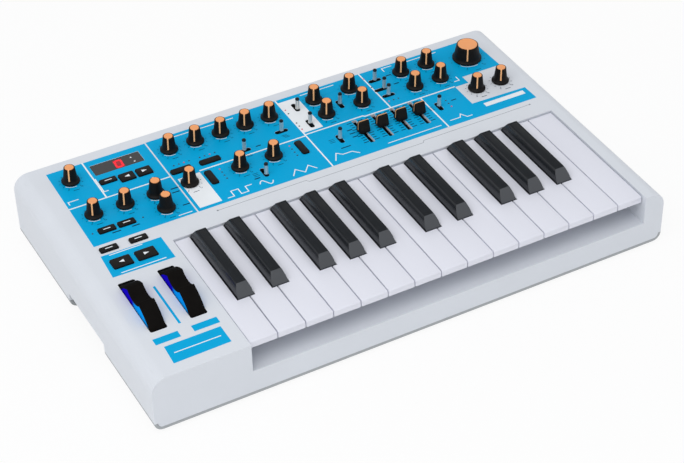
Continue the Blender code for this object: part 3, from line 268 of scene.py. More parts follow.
class PanelSettings(PropertyGroup):
    film: length("Film", "Thickness of one layer of print", 0.04)
    tick: length("Tick", "Length of the dial marks", 1.1)
    blue: paint("Printed fields", "00AAE0")
    white: paint("Printed lines", "F2F6FA")
    dark: paint("Dial marks", "06324E")
    grey: paint("Marks on the bare case", "8A9097")


class KeySettings(PropertyGroup):
    white_edge: length("White key edge", "Radius along a white key's upper edges", 0.5)
    lip: length("White key lip", "Height of a white key's front lip", 3.6)
    apron: length("White key apron", "How far the front face goes on below the lip", 2.6)
    black_waist: length("Black key waist", "Height at which a black key's flank turns in", 4.2)
    black_fullness: length("Black key fullness", "How far the flank stands out at the waist", 0.4)
    black_edge: length("Black key edge", "Radius along a black key's upper edges", 0.5)
    groove: length("Groove", "Width of the line moulded round a black key's top", 0.3)
    white: paint("White keys", "E6E7F1")
    black: paint("Black keys", "202327")
    # The fronts are the keys' black painted lighter: a painted sheen where they face the light
    front: paint("Black key fronts", "363A40")


class ControlSettings(PropertyGroup):
    flutes: IntProperty(name="Flutes", description="Fine ribs round a knob", default=28)
    flute_depth: length("Flute depth", "Depth of a knob's ribs", 0.08)
    pointer: length("Pointer", "Width of the pointer line on a knob", 1.2)
    black: paint("Knobs, fader caps and buttons", "161413")
    orange: paint("Knob caps", "F8A668")
    # Lighter than the knob caps: a painted highlight where the pointer lines face the light
    line: paint("Pointer lines", "FFBE84")
    wheel_rear: paint("Wheel glow, rear", "1A0AC4")
    wheel_front: paint("Wheel glow, front", "0C9CF5")
    lamp_off: paint("Unlit lamps", "1E2A3A")
    lamp_on: paint("Lit lamps", "C23A5C")
    digit: paint("Display digit", "E4001E")


class StageSettings(PropertyGroup):
    lens: number("Lens", "Focal length on a 36 mm wide frame, in mm", 96.99)
    azimuth: angle("Azimuth", "How far left of the front the camera stands", -28.079)
    elevation: angle("Elevation", "The camera's height above the horizon", 37.995)
    roll: angle("Roll", "The camera's tilt about its line of sight", -1.336)
    distance: length("Distance", "From the camera to the point it looks at", 1462.4)
    target: FloatVectorProperty(
        name="Target", description="The point the camera looks at", default=(-0.02265, -0.04906, 0.0490),
        unit="LENGTH",
    )
    lights: FloatVectorProperty(
        name="Lights", description="Watts of the key, fill and front light", default=(11.5, 0.8, 1.8)
    )
    sky: number("Sky", "Strength of the surrounding light", 0.66)


SETTINGS = {
    "synth_case": CaseSettings,
    "synth_panel": PanelSettings,
    "synth_keys": KeySettings,
    "synth_controls": ControlSettings,
    "synth_stage": StageSettings,
}


# The panel's own plane: x to the right, y up the slope from its front edge, z out of it


def panel_matrix():
    """The panel's place, worked out from a knob's joint."""
    joint = JOINTS["volume_knob"]
    normal = -Vector(joint["axis"]).normalized()
    tilt = atan2(-normal.y, normal.z)
    knob = Vector(joint["pos_m"])
    height = (KNOB_GAP + sin(tilt) * (knob.y - CASE_FRONT)) / cos(tilt)
    return Matrix.Translation((0, CASE_FRONT, knob.z - height)) @ Matrix.Rotation(tilt, 4, "X")


PANEL = panel_matrix()


def on_panel(x, y, z=0.0):
    return PANEL @ Matrix.Translation((x, y, z))


def placed(bm, x=0.0, y=0.0, z=0.0):
    """Moves a shape made at the origin onto the panel."""
    bm.transform(on_panel(x, y, z))
    return bm


def spot(name):
    """A knob's place on the panel."""
    return (PANEL.inverted() @ Vector(JOINTS[name]["pos_m"])).xy


def joint_x(name):
    return JOINTS[name]["pos_m"][0]


# Modelling helpers


def arc(centre, radius, start, end, steps):
    """Points along an arc, angles in degrees."""
    angles = (radians(start + (end - start) * i / steps) for i in range(steps + 1))
    return [(centre[0] + radius * cos(a), centre[1] + radius * sin(a)) for a in angles]


def circle(radius, sides):
    return arc((0, 0), radius, 0, 360 - 360 / sides, sides - 1)


def rounded(width, height, radius, steps=5):
    """A rectangle with round corners, centred."""
    x, y = width / 2 - radius, height / 2 - radius
    points = []
    for cx, cy, start in ((x, y, 0), (-x, y, 90), (-x, -y, 180), (x, -y, 270)):
        points += arc((cx, cy), radius, start, start + 90, steps)
    return points


def loft(rings):
    """Joins rings of points, given as (outline, height), and closes both ends."""
    bm = bmesh.new()
    loops = []
    for outline, height in rings:
        verts = [bm.verts.new((x, y, height)) for x, y in outline]
        loops.append([bm.edges.new(pair) for pair in zip(verts, verts[1:] + verts[:1])])
    for low, high in zip(loops, loops[1:]):
        bmesh.ops.bridge_loops(bm, edges=low + high)
    for loop in (loops[0], loops[-1]):
        bmesh.ops.contextual_create(bm, geom=loop)
    bmesh.ops.recalc_face_normals(bm, faces=bm.faces)
    return bm


def prism(outline, low, high):
    return loft([(outline, low), (outline, high)])


def block(low, high):
    low, high = Vector(low), Vector(high)
    bm = bmesh.new()
    bmesh.ops.create_cube(bm, size=1)
    bmesh.ops.scale(bm, vec=high - low, verts=bm.verts)
    bmesh.ops.translate(bm, vec=(low + high) / 2, verts=bm.verts)
    return bm


def turned(profile, steps):
    """A profile in radius and height, spun about Z."""
    bm = bmesh.new()
    verts = [bm.verts.new((r, 0, z)) for r, z in profile]
    edges = [bm.edges.new(pair) for pair in zip(verts, verts[1:])]
    bmesh.ops.spin(
        bm, geom=verts + edges, cent=(0, 0, 0), axis=(0, 0, 1), angle=tau, steps=steps, use_merge=True
    )
    bmesh.ops.remove_doubles(bm, verts=bm.verts, dist=1e-6)
    bmesh.ops.recalc_face_normals(bm, faces=bm.faces)
    return bm


def painted(bm, index):
    """Gives all faces the material of that number."""
    for face in bm.faces:
        face.material_index = index
    return bm


def together(*shapes):
    """One bmesh of several, which are freed."""
    bm = bmesh.new()
    mesh = bpy.data.meshes.new("part")
    for shape in shapes:
        shape.to_mesh(mesh)
        shape.free()
        bm.from_mesh(mesh)
    bpy.data.meshes.remove(mesh)
    return bm


def merged_copy(node):
    """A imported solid's mesh with its loose triangles joined into faces."""
    bm = bmesh.new()
    bm.from_mesh(frame["nodes"][node].data)
    bmesh.ops.remove_doubles(bm, verts=bm.verts, dist=2e-6)
    bmesh.ops.dissolve_limit(bm, angle_limit=radians(0.5), verts=bm.verts, edges=bm.edges)
    return bm


def soften(bm, edges, radius):
    style = {"affect": "EDGES", "segments": 3, "profile": 0.5, "material": -1, "clamp_overlap": True}
    bmesh.ops.bevel(bm, geom=edges, offset=radius, **style)


def make_object(name, bm, group):
    """An object in a collection, made of a bmesh, which is freed."""
    mesh = bpy.data.meshes.new(name)
    bm.to_mesh(mesh)
    bm.free()
    made = bpy.data.objects.new(name, mesh)
    group.objects.link(made)
    return made


def make_piece(name, bm, materials, body, replaces=(), smooth=35):
    """A finished piece that rides on a body. Its place is in its mesh."""
    piece = make_object(name, bm, bpy.context.scene.collection)
    for material in materials:
        piece.data.materials.append(material)
    piece.data.shade_smooth()
    piece.data.set_sharp_from_angle(angle=radians(smooth))
    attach(piece, body)
    if replaces:
        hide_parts(*replaces)
    return piece


def carved(bm, steps):
    """Takes the bmesh through Booleans, each an operation and a list of cutting bmeshes."""
    scene = bpy.context.scene
    blank = make_object("blank", bm, scene.collection)
    helpers, groups = [blank], []
    for operation, cutters in steps:
        group = bpy.data.collections.new("cutters")
        scene.collection.children.link(group)
        groups.append(group)
        helpers += [make_object("cutter", cutter, group) for cutter in cutters]
        modifier = blank.modifiers.new(operation, "BOOLEAN")
        modifier.operation = operation
        modifier.operand_type = "COLLECTION"
        modifier.collection = group
    graph = bpy.context.evaluated_depsgraph_get()
    result = bpy.data.meshes.new_from_object(blank.evaluated_get(graph))
    made = bmesh.new()
    made.from_mesh(result)
    bpy.data.batch_remove([result, *groups, *helpers, *(helper.data for helper in helpers)])
    if not made.faces:
        raise RuntimeError("a Boolean left nothing")
    return made


# Materials


def feed(tree, value, socket):
    """Sets an input to a value, or links it to another node's output."""
    if isinstance(value, bpy.types.NodeSocket):
        tree.links.new(value, socket)
    else:
        socket.default_value = value


def add_node(tree, kind, values, output=0, **settings):
    """A new shader node's output. Its inputs are fed by their names or numbers."""
    node = tree.nodes.new("ShaderNode" + kind)
    for name, value in settings.items():
        setattr(node, name, value)
    for name, value in values.items():
        feed(tree, value, node.inputs[name])
    return node.outputs[output]


def skin(tree):
    """The inputs of a material's Principled shader."""
    return tree.nodes["Principled BSDF"].inputs


def own_place(tree):
    return add_node(tree, "TexCoord", {}, "Object")


def object_noise(tree, scale, detail):
    """Noise on the piece's own coordinates, with this many features to the metre."""
    values = {"Vector": own_place(tree), "Scale": scale, "Detail": detail}
    return add_node(tree, "TexNoise", values, "Fac")


def add_relief(tree, height, depth):
    """Bump of that depth from a height."""
    bump = add_node(tree, "Bump", {"Height": height, "Distance": depth, "Strength": 1})
    feed(tree, bump, skin(tree)["Normal"])


def two_colours(tree, share, low, high):
    """A colour that runs from one to another, each given with where it starts or ends."""
    ramp = add_node(tree, "ValToRGB", {"Fac": share}, "Color")
    for element, (position, colour) in zip(ramp.node.color_ramp.elements, (low, high)):
        element.position = position
        element.color = (*colour, 1)
    return ramp


def make_material(name, colour, roughness, relief=(), gloss=(), tint=(), **others):
    """A Principled material with relief, uneven gloss and tint, each along a noise of its own.

    Each is given as the noise's scale and detail, then relief's depth, gloss's least and
    greatest roughness, or how much darker the tint grows. The others are input values.
    """
    low, high = 0.3, 0.7
    material = bpy.data.materials.new(name)
    material.use_nodes = True
    tree = material.node_tree
    inputs = skin(tree)
    inputs["Base Color"].default_value = (*colour, 1)
    inputs["Roughness"].default_value = roughness
    for key, value in others.items():
        inputs[key.replace("_", " ")].default_value = value
    if relief:
        *grain, depth = relief
        add_relief(tree, object_noise(tree, *grain), depth)
    if gloss:
        *grain, least, most = gloss
        ends = {"From Min": low, "From Max": high, "To Min": least, "To Max": most}
        spread = add_node(tree, "MapRange", {"Value": object_noise(tree, *grain), **ends}, "Result")
        feed(tree, spread, inputs["Roughness"])
    if tint:
        *grain, share = tint
        darker = [part * (1 - share) for part in colour]
        drift = two_colours(tree, object_noise(tree, *grain), (low, darker), (high, colour))
        feed(tree, drift, inputs["Base Color"])
    return material


def moulded_plastic(name, colour, roughness, grain=0.00002, grains=1400):
    """Injection-moulded plastic with a fine spark-eroded grain."""
    gloss = (22, 3, roughness - 0.05, roughness + 0.05)
    return make_material(name, colour, roughness, (grains, 2, grain), gloss, (22, 3, 0.03))


def polished_key(name, colour, shine=0.4):
    """Glossy key plastic, very slightly uneven in sheen."""
    gloss = (60, 2, 0.25, 0.27)
    return make_material(name, colour, 0.24, (), gloss, (8, 2, 0.01), Specular_IOR_Level=shine)


def soft_touch(name, colour, roughness, shine=0.12):
    """Rubbery black coating, finely pitted and a little uneven in sheen."""
    relief = (2600, 3, 0.00003)
    gloss = (160, 2, roughness - 0.08, roughness + 0.08)
    return make_material(name, colour, roughness, relief, gloss, (160, 2, 0.25), Specular_IOR_Level=shine)


def printed_ink(name, colour):
    """Screen-printed ink: even colour with a slightly pebbled skin."""
    relief = (1800, 2, 0.00001)
    gloss = (45, 2, 0.45, 0.56)
    return make_material(name, colour, 0.5, relief, gloss, (45, 2, 0.04), Specular_IOR_Level=0.08)


def metal(name, colour, roughness):
    """Bright metal with fine handling marks."""
    relief = (1200, 4, 0.000004)
    gloss = (1200, 4, roughness, roughness + 0.12)
    return make_material(name, colour, roughness, relief, gloss, (200, 2, 0.08), Metallic=0.75)


def painted_steel(name, colour):
    """Powder-coated sheet with an orange-peel skin."""
    relief = (700, 2, 0.00003)
    return make_material(name, colour, 0.5, relief, (700, 2, 0.42, 0.6), (40, 2, 0.1), Metallic=0.3)


def smoked_glass(name, colour):
    """Dark window plastic over the display."""
    relief = (120, 2, 0.000005)
    return make_material(name, colour, 0.08, relief, (), (60, 2, 0.2), Coat_Weight=0.25, Coat_Roughness=0.05)


def glowing(name, colour, strength):
    """Lit plastic: its own colour with some light of its own."""
    own = {"Emission_Color": (*colour, 1), "Emission_Strength": strength}
    return make_material(name, colour, 0.3, tint=(700, 2, 0.15), **own)


def lit_wheel_side(name, rear, front, middle):
    """Clear plastic lit from within: deep blue behind the wheel's middle and light blue before it."""
    relief = (900, 2, 0.00001)
    material = make_material(name, front, 0.25, relief, Emission_Strength=0.08, Specular_IOR_Level=0)
    tree = material.node_tree
    along = add_node(tree, "SeparateXYZ", {"Vector": own_place(tree)}, "Y")
    ends = {"From Min": middle - mm(1.5), "From Max": middle + mm(3.5)}
    share = add_node(tree, "MapRange", {"Value": along, **ends}, "Result")
    colour = two_colours(tree, share, (0, front), (1, rear))
    feed(tree, colour, skin(tree)["Base Color"])
    feed(tree, colour, skin(tree)["Emission Color"])
    return material


def circuit_board(name):
    """Green lacquer with the weave of the glass cloth under it."""
    light, dark = srgb("1E5A38"), srgb("1A5232")
    material = make_material(name, light, 0.35)
    tree = material.node_tree
    values = {"Vector": own_place(tree), "Scale": 900, "Color1": (*light, 1), "Color2": (*dark, 1)}
    weave = add_node(tree, "TexChecker", values, "Color")
    feed(tree, weave, skin(tree)["Base Color"])
    add_relief(tree, weave.node.outputs["Fac"], 0.00002)
    return material


def finish(name, maker, *values):
    """The material of that name, which is made the first time."""
    return bpy.data.materials.get(name) or maker(name, *values)


def component_black():
    return finish("black component", moulded_plastic, srgb("0C0D0F"), 0.7)


def white_ink():
    return finish("white ink", printed_ink, bpy.context.scene.synth_panel.white)


def knob_materials():
    """The rubber of knobs and fader caps, and the paint of their lines, which is lighter than the caps'
    orange as a painted highlight.
    """
    settings = bpy.context.scene.synth_controls
    rubber = finish("knob rubber", soft_touch, settings.black, 0.5)
    return rubber, finish("pointer paint", printed_ink, settings.line)


# Case


def panel_hole(outline, wider, x, y, chamfer):
    """A hole through the panel with a small chamfer at its mouth."""
    rings = [(outline, -HOLE_DEPTH), (outline, -chamfer), (wider, chamfer), (wider, HOLE_ABOVE)]
    return placed(loft(rings), x, y)


def oblong_hole(width, height, radius, x, y, chamfer):
    outline = rounded(width, height, radius)
    wider = rounded(width + 4 * chamfer, height + 4 * chamfer, radius + 2 * chamfer)
    return panel_hole(outline, wider, x, y, chamfer)


def button_radius(width, height):
    """The corner radius of a button: larger on the long ones."""
    return LONG_BUTTON_CORNER if max(width, height) > LONG_BUTTON else BUTTON_CORNER


def switch_slots():
    """Each slide switch's slot: width, height, corner radius and place."""
    return [(*SWITCH_SLOT[:: 1 if across else -1], SWITCH_CORNER, x, y) for x, y, across, _ in SWITCHES]


def wheel_slots():
    return [(*WHEEL_SLOT, joint_x(name), WHEEL_FROM_FRONT) for name in WHEELS]


def control_holes(chamfer):
    """Holes for levers, faders, buttons and the display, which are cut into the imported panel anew."""
    slots = switch_slots()
    slots += [(*FADER_SLOT, joint_x(name), FADER_FROM_FRONT) for name in FADERS]
    for x, y, width, height, _ in BUTTONS:
        size = (width + 2 * BUTTON_GAP, height + 2 * BUTTON_GAP)
        slots.append((*size, button_radius(width, height) + BUTTON_GAP, x, y))
    slots.append((*DISPLAY_SIZE, DISPLAY_CORNER, *DISPLAY_CENTRE))
    return [
        oblong_hole(width + HOLE_MARGIN, height + HOLE_MARGIN, radius, x, y, chamfer)
        for width, height, radius, x, y in slots
    ]


def shell_holes(chamfer):
    holes = control_holes(chamfer)
    for name in KNOBS:
        holes.append(panel_hole(*(circle(radius, 24) for radius in KNOB_HOLE), *spot(name), chamfer))
    return holes + [oblong_hole(*slot, chamfer) for slot in wheel_slots()]


class SYNTH_OT_case(Operator):
    """Builds the two case shells, the keybed's frame and the circuit board"""

    bl_idname = "synth.case"
    bl_label = "Case"

    def execute(self, context):
        settings = context.scene.synth_case
        shell = finish("shell plastic", moulded_plastic, settings.shell, 0.46)
        base = finish("base plastic", moulded_plastic, settings.base, 0.6, 0.00005, 900)
        steel = finish("keybed steel", painted_steel, settings.inside)
        board = finish("circuit board", circuit_board)
        upper = carved(merged_copy("top_case"), [("DIFFERENCE", control_holes(settings.slot_chamfer))])
        piece = self.part("upper_shell", upper, [shell], "case_white", "top_case")
        # Large flat faces stay evenly shaded where they meet round edges
        piece.modifiers.new("even shading", "WEIGHTED_NORMAL").keep_sharp = True
        self.part("lower_shell", merged_copy("bottom_case"), [base], "base_grey", "bottom_case")
        self.part("keybed_frame", merged_copy("key_chassis"), [steel], "chassis", "key_chassis")
        self.part("circuit_board", self.board_shape(), [board, component_black()], "board", "control_board")
        return {"FINISHED"}

    def part(self, name, bm, materials, slot, node):
        return make_piece(name, bm, materials, "case", [node], 25)

    def board_shape(self):
        """The board and its components, told apart by their depth below the panel."""
        bm = levelled_copy("control_board")
        slack = mm(0.1)
        for face in bm.faces:
            depth = -face.calc_center_median().z
            on_board = BOARD_DEPTH - slack <= depth <= BOARD_DEPTH + BOARD_THICKNESS + slack
            face.material_index = int(not on_board)
        return placed(bm)


# Panel print. A layer is the height of its lower and its upper side


def sheet(low, high, layer):
    return placed(block((*low, layer[0]), (*high, layer[1])))


def panel_piece(outline, layer):
    return placed(prism(outline, *layer))


def stroke(points, width):
    """The outline of a line of that width through the points, with mitred corners."""
    points = [Vector(point) for point in points]
    steps = [(b - a).normalized() for a, b in zip(points, points[1:])]
    left, right = [], []
    for i, point in enumerate(points):
        before, after = steps[max(i - 1, 0)], steps[min(i, len(steps) - 1)]
        normal = Vector((-before.y, before.x)) + Vector((-after.y, after.x))
        shift = normal * (width / (1 + before.dot(after)) / 2)
        left.append(tuple(point + shift))
        right.append(tuple(point - shift))
    return left + right[::-1]


def dial(name):
    """How far from a knob's middle its marks, bow, numbers and rule are printed."""
    return LARGE_DIAL if name == BIG_KNOB else SMALL_DIAL


def dial_marks(name, tick, layer):
    """Eleven short lines round a knob, from its lowest value to its highest."""
    reach = dial(name)[0]
    half = mm(0.2)
    marks = []
    for i in range(11):
        turn = Matrix.Rotation(radians(150 - 30 * i), 4, "Z")
        size = tick * (1.5 if i in (0, 5, 10) else 1.0)
        mark = block((-half, reach, layer[0]), (half, reach + size, layer[1]))
        mark.transform(on_panel(*spot(name)) @ turn)
        marks.append(mark)
    return marks


def fader_marks(layer):
    """A ladder of short lines on both sides of each fader slot."""
    near, short, far = mm((3, 6.4, 7.6))
    pitch, half = mm((3.3, 0.4))
    marks = []
    for name in FADERS:
        x = joint_x(name)
        for side in (-1, 1):
            for i in range(10):
                y = FADER_FROM_FRONT + (i - 4.5) * pitch
                left, right = sorted((x + side * near, x + side * (short if i % 3 else far)))
                marks.append(sheet((left, y - half), (right, y + half), layer))
    return marks


def dial_number(text, x, y, layer):
    low, high = layer
    curve = bpy.data.curves.new("number", "FONT")
    curve.body = text
    curve.size = mm(2)
    curve.align_x = curve.align_y = "CENTER"
    curve.resolution_u = 3
    curve.extrude = (high - low) / 2
    label = bpy.data.objects.new("number", curve)
    mesh = bpy.data.meshes.new_from_object(label)
    bm = bmesh.new()
    bm.from_mesh(mesh)
    bpy.data.batch_remove([label, curve, mesh])
    placed(bm, x, y, (low + high) / 2)
    bmesh.ops.remove_doubles(bm, verts=bm.verts, dist=1e-6)
    return bm


def dial_numbers(name, layer):
    x, y = spot(name)
    reach = dial(name)[2]
    ends = (("0", radians(DIAL_START)), ("10", radians(DIAL_END)))
    return [dial_number(text, x + reach * sin(a), y + reach * cos(a), layer) for text, a in ends]


def label_rules(layer):
    """Short thin rules where controls would have their labels."""
    corners = []
    half, height = KNOB_RULE
    for name in KNOBS:
        x, y = spot(name) - Vector((0, dial(name)[3]))
        corners.append(((x - half, y), (x + half, y + height)))
    wide, height = SWITCH_RULE
    below, beside = mm((((-3, -6.2), (0.8, -1.6)), ((-10, -2), (0, 2))))
    for x, y, across, _ in LABELLED_SWITCHES:
        (start_x, start_y), (step_x, step_y) = below if across else beside
        for i in range(3):
            left, low = x + start_x + i * step_x, y + start_y + i * step_y
            corners.append(((left, low), (left + wide, low + height)))
    return [sheet(low, high, layer) for low, high in corners]


def sine_sign(x, y, width, height):
    """A plain sine wave's middle line."""
    shares = [i / 20 for i in range(21)]
    return [(x + width * share, y + height / 2 * sin(tau * share)) for share in shares]


def lay(name, shapes, ink, chamfer=None):
    """Prints the shapes as one piece. With a chamfer, the panel's openings are cut out of it."""
    if chamfer:
        bm = carved(shapes[0], [("UNION", shapes[1:]), ("DIFFERENCE", shell_holes(chamfer))])
    else:
        bm = together(*shapes)
    make_piece(name, bm, [ink], "case")


class SYNTH_OT_print(Operator):
    """Prints the blue fields, white lines, dial marks and numbers on the panel"""

    bl_idname = "synth.print"
    bl_label = "Panel print"

    def execute(self, context):
        panel = context.scene.synth_panel
        chamfer = context.scene.synth_case.slot_chamfer
        broad, fine, thin = LINE_WIDTHS
        first, over, top = ((panel.film * start, panel.film * (start + 1)) for start in (0.2, 1.4, 2.6))
        white = white_ink()
        blue, dark, grey = (
            finish(f"{ink} ink", printed_ink, getattr(panel, ink)) for ink in ("blue", "dark", "grey")
        )
        lay("blue_print", [panel_piece(outline, first) for outline in BLUE_FIELDS], blue, chamfer)
        lay("pale_plates", [sheet(*corners, over) for corners in PALE_PLATES], white, chamfer)
        lines = [panel_piece(stroke(points, broad), top) for points in FIELD_LINES]
        lay("field_lines", lines, white, chamfer)
        signs = [stroke(points, fine) for points in (*FINE_LINES, sine_sign(*SINE_SIGN))]
        signs += [stroke(arc(spot(name), dial(name)[1], 215, 285, 10), thin * 1.6) for name in KNOBS]
        lay("white_signs", [panel_piece(outline, top) for outline in signs], white, chamfer)
        marks = fader_marks(top)
        for name in KNOBS:
            marks += dial_marks(name, panel.tick, top)
        marks += [sheet((x, y), (x + width, y + BAR_HEIGHT), top) for x, y, width in DARK_BARS]
        lay("dial_marks", marks + label_rules(top), dark)
        lay("dial_numbers", [number for name in KNOBS for number in dial_numbers(name, top)], dark)
        strip = [panel_piece(stroke(STRIP_LINE, thin), first)]
        for x, y in (STRIP_LINE[0], STRIP_LINE[-1]):
            strip.append(placed(prism(circle(mm(0.8), 16), *first), x, y))
        lay("strip_line", strip, grey)
        return {"FINISHED"}


# Keys


def levelled_copy(name):
    """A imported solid's merged mesh in the panel's own plane."""
    bm = merged_copy(name)
    bm.transform(PANEL.inverted())
    return bm


def sharp_edges(bm, least, above):
    """Edges that turn by more than an angle and lie wholly above a height."""
    return [
        edge
        for edge in bm.edges
        if edge.calc_face_angle(0) > radians(least)
        and all(vert.co.z > above for vert in edge.verts)
    ]


def white_key(name, keys):
    """Round upper edges, and a front face that goes on below the lip."""
    bm = levelled_copy(name)
    front = min(vert.co.y for vert in bm.verts) + mm(0.2)
    for vert in bm.verts:
        if vert.co.y < front and vert.co.z < -KEYS_BELOW_PANEL - keys.lip / 2:
            vert.co.z -= keys.apron
    soften(bm, sharp_edges(bm, 50, -KEYS_BELOW_PANEL - keys.lip), keys.white_edge)
    return placed(bm)


def black_key(name, keys):
    """Two facets on each flank, round shoulders, and a line moulded round the top."""
    bm = levelled_copy(name)
    middle = sum(vert.co.x for vert in bm.verts) / len(bm.verts)
    waist = keys.black_waist - KEYS_BELOW_PANEL
    geom = bm.verts[:] + bm.edges[:] + bm.faces[:]
    bmesh.ops.bisect_plane(bm, geom=geom, plane_co=(0, 0, waist), plane_no=(0, 0, 1), dist=1e-7)
    for vert in bm.verts:
        if abs(vert.co.z - waist) < 1e-6:
            vert.co.x += copysign(keys.black_fullness, vert.co.x - middle)
    soften(bm, sharp_edges(bm, 24, waist + mm(1)), keys.black_edge)
    flats = [f for f in bm.faces if f.normal.z > 0.999 and f.calc_center_median().z > waist]
    lid = max(flats, key=lambda f: f.calc_area())
    top = lid.calc_center_median().z
    for width, depth in ((mm(0.4), 0), (keys.groove, mm(-0.25)), (keys.groove, mm(0.25))):
        bmesh.ops.inset_region(bm, faces=[lid], thickness=width, depth=depth)
    for face in bm.faces:
        low = face.calc_center_median().z < top - mm(0.6)
        # Front faces below the top take the lighter front colour, a painted sheen where they face the light
        face.material_index = (2 if face.normal.y < -0.5 else 1) if low else 0
    return placed(bm)


class SYNTH_OT_keys(Operator):
    """Finishes the white and black keys"""

    bl_idname = "synth.keys"
    bl_label = "Keys"

    def execute(self, context):
        keys = context.scene.synth_keys
        white = [finish("white key plastic", polished_key, keys.white)]
        black = [
            finish("black key top", soft_touch, keys.black, 0.55),
            finish("black key flank", polished_key, keys.black, 0.4),
            # The front colour is the keys' black painted lighter, a painted sheen where the fronts face the
            # light
            finish("black key front", polished_key, keys.front, 0.8),
        ]
        for name in WHITE_KEYS:
            make_piece(f"finished_{name}", white_key(name, keys), white, name, [name])
        for name in BLACK_KEYS:
            make_piece(f"finished_{name}", black_key(name, keys), black, name, [name])
        return {"FINISHED"}


# Controls


def knob_profile(skirt, body, top, height, cap):
    """A knob's section, from the middle of its cap round to the end of its bore."""
    bore, bore_end = KNOB_BORE
    shoulder = height - mm(0.7)
    points = [(0, height - mm(0.1))]
    for out, down in mm(((-0.6, 0.1), (-0.2, 0), (0, 0.2), (0.05, 0.5))):
        points.append((cap + out, height - down))
    points += [(top - mm(0.2), height - mm(0.4)), (top, shoulder)]
    for share in (0.25, 0.5, 0.75, 1):
        points.append((top + (body - top) * share, shoulder - (shoulder - SKIRT_TOP) * share))
    flare = skirt - mm(0.3) - body
    for turn in (20, 40, 60, 80):
        drop = mm(3.8) * sin(radians(turn))
        points.append((body + flare * (1 - cos(radians(turn))), SKIRT_TOP - drop))
    points += [(skirt, mm(1.4)), (skirt, mm(0.2)), (skirt - mm(0.2), 0)]
    return points + [(bore, 0), (bore, bore_end), (0, bore_end)]


def knob_shape(settings, skirt, body, top, height, cap):
    """A fluted knob with its coloured cap and pointer, pointing along +Y."""
    bm = turned(knob_profile(skirt, body, top, height, cap), 96)
    for vert in bm.verts:
        radius = vert.co.xy.length
        if SKIRT_TOP + mm(0.1) < vert.co.z < height - mm(0.8) and radius > top - mm(0.4):
            turn = atan2(vert.co.y, vert.co.x)
            vert.co.xy *= 1 - settings.flute_depth / radius * (1 + cos(settings.flutes * turn))
    for face in bm.faces:
        middle = face.calc_center_median()
        if middle.z > height - mm(0.55) and middle.xy.length < cap + mm(0.03):
            face.material_index = 1
    half = settings.pointer / 2
    inner, outer = mm((0.8, 0.12))
    rings = []
    foot = ((body + mm(0.4), mm(4)), (body, SKIRT_TOP))
    for radius, z in (*foot, (top, height - mm(0.6)), (top - mm(0.6), height - mm(0.2))):
        near, far = radius - inner, radius + outer
        rings.append((((-half, near), (half, near), (half, far), (-half, far)), z))
    # The pointer takes the third material, the line paint that is lighter than the cap as a painted
    # highlight
    return together(bm, painted(loft(rings), 2))


class SYNTH_OT_knobs(Operator):
    """Builds the fluted knobs with their caps and pointers"""

    bl_idname = "synth.knobs"
    bl_label = "Knobs"

    def execute(self, context):
        settings = context.scene.synth_controls
        black, line = knob_materials()
        orange = finish("orange plastic", moulded_plastic, settings.orange, 0.5)
        for name in KNOBS:
            bm = knob_shape(settings, *(LARGE_KNOB if name == BIG_KNOB else SMALL_KNOB))
            turn = radians(DIAL_START - JOINTS[name]["range_deg"][0])
            bm.transform(on_panel(*spot(name), KNOB_GAP) @ Matrix.Rotation(-turn, 4, "Z"))
            # The pointer paint is the caps' orange painted lighter, a painted highlight
            make_piece(f"finished_{name}", bm, [black, orange, line], name, [name])
        return {"FINISHED"}


def fader_shape():
    """A fader cap with hollowed flanks up to a ridge, a line over the ridge, and its stem."""
    bm = loft([(rounded(wide, long, long * 0.2, 3), height) for wide, long, height in FADER_LEVELS])
    corner = mm(0.15)
    line = loft([(rounded(wide, long, corner, 2), height) for wide, long, height in FADER_LINE])
    return together(bm, painted(line, 1), block(*FADER_STEM))


class SYNTH_OT_faders(Operator):
    """Builds the fader caps with their pointer lines and stems"""

    bl_idname = "synth.faders"
    bl_label = "Faders"

    def execute(self, context):
        for name in FADERS:
            bm = placed(fader_shape(), joint_x(name), FADER_FROM_FRONT, FADER_GAP)
            make_piece(f"finished_{name}", bm, knob_materials(), name, [name])
        return {"FINISHED"}


def liner(width, height, radius, x, y):
    """A thin black sleeve in a slot of the panel."""
    low, high, wall, beyond = mm((-2.4, -0.2, 0.3, 1))
    bore = prism(rounded(width - 2 * wall, height - 2 * wall, radius - wall), low - beyond, high + beyond)
    return placed(carved(prism(rounded(width, height, radius), low, high), [("DIFFERENCE", [bore])]), x, y)


class SYNTH_OT_switches(Operator):
    """Builds the slide switches' bright levers, and the sleeves of their slots and the wheels'"""

    bl_idname = "synth.switches"
    bl_label = "Slide switches"

    def execute(self, context):
        bright = finish("bright metal", metal, srgb("DCD9D4"), 0.28)
        dark = finish("lever tip", soft_touch, srgb("1C1F24"), 0.4)
        foot, tip = LEVER_BRIGHT
        for i, (x, y, across, shift) in enumerate(SWITCHES):
            bm = turned(LEVER_PROFILE, 28)
            for face in bm.faces:
                face.material_index = int(not foot <= face.calc_center_median().z <= tip)
            place = (x + shift, y) if across else (x, y + shift)
            make_piece(f"switch_lever_{i + 1:02}", placed(bm, *place), [bright, dark], "case")
        liners = together(*(liner(*slot) for slot in switch_slots() + wheel_slots()))
        make_piece("slot_liners", liners, [component_black()], "case")
        return {"FINISHED"}


def button_shape(width, height, sign):
    """A button cap with the sign on it, if it has one."""
    radius = button_radius(width, height)
    rings = []
    for inset, z in BUTTON_EDGE:
        rings.append((rounded(width - 2 * inset, height - 2 * inset, radius - inset * 0.8), BUTTON_RISE + z))
    if not sign:
        return loft(rings)
    outline = ARROW_SIGNS.get(sign) or rounded(*BAR_SIGN, 2)
    return together(loft(rings), painted(prism(outline, BUTTON_RISE - mm(0.1), BUTTON_RISE + mm(0.04)), 1))


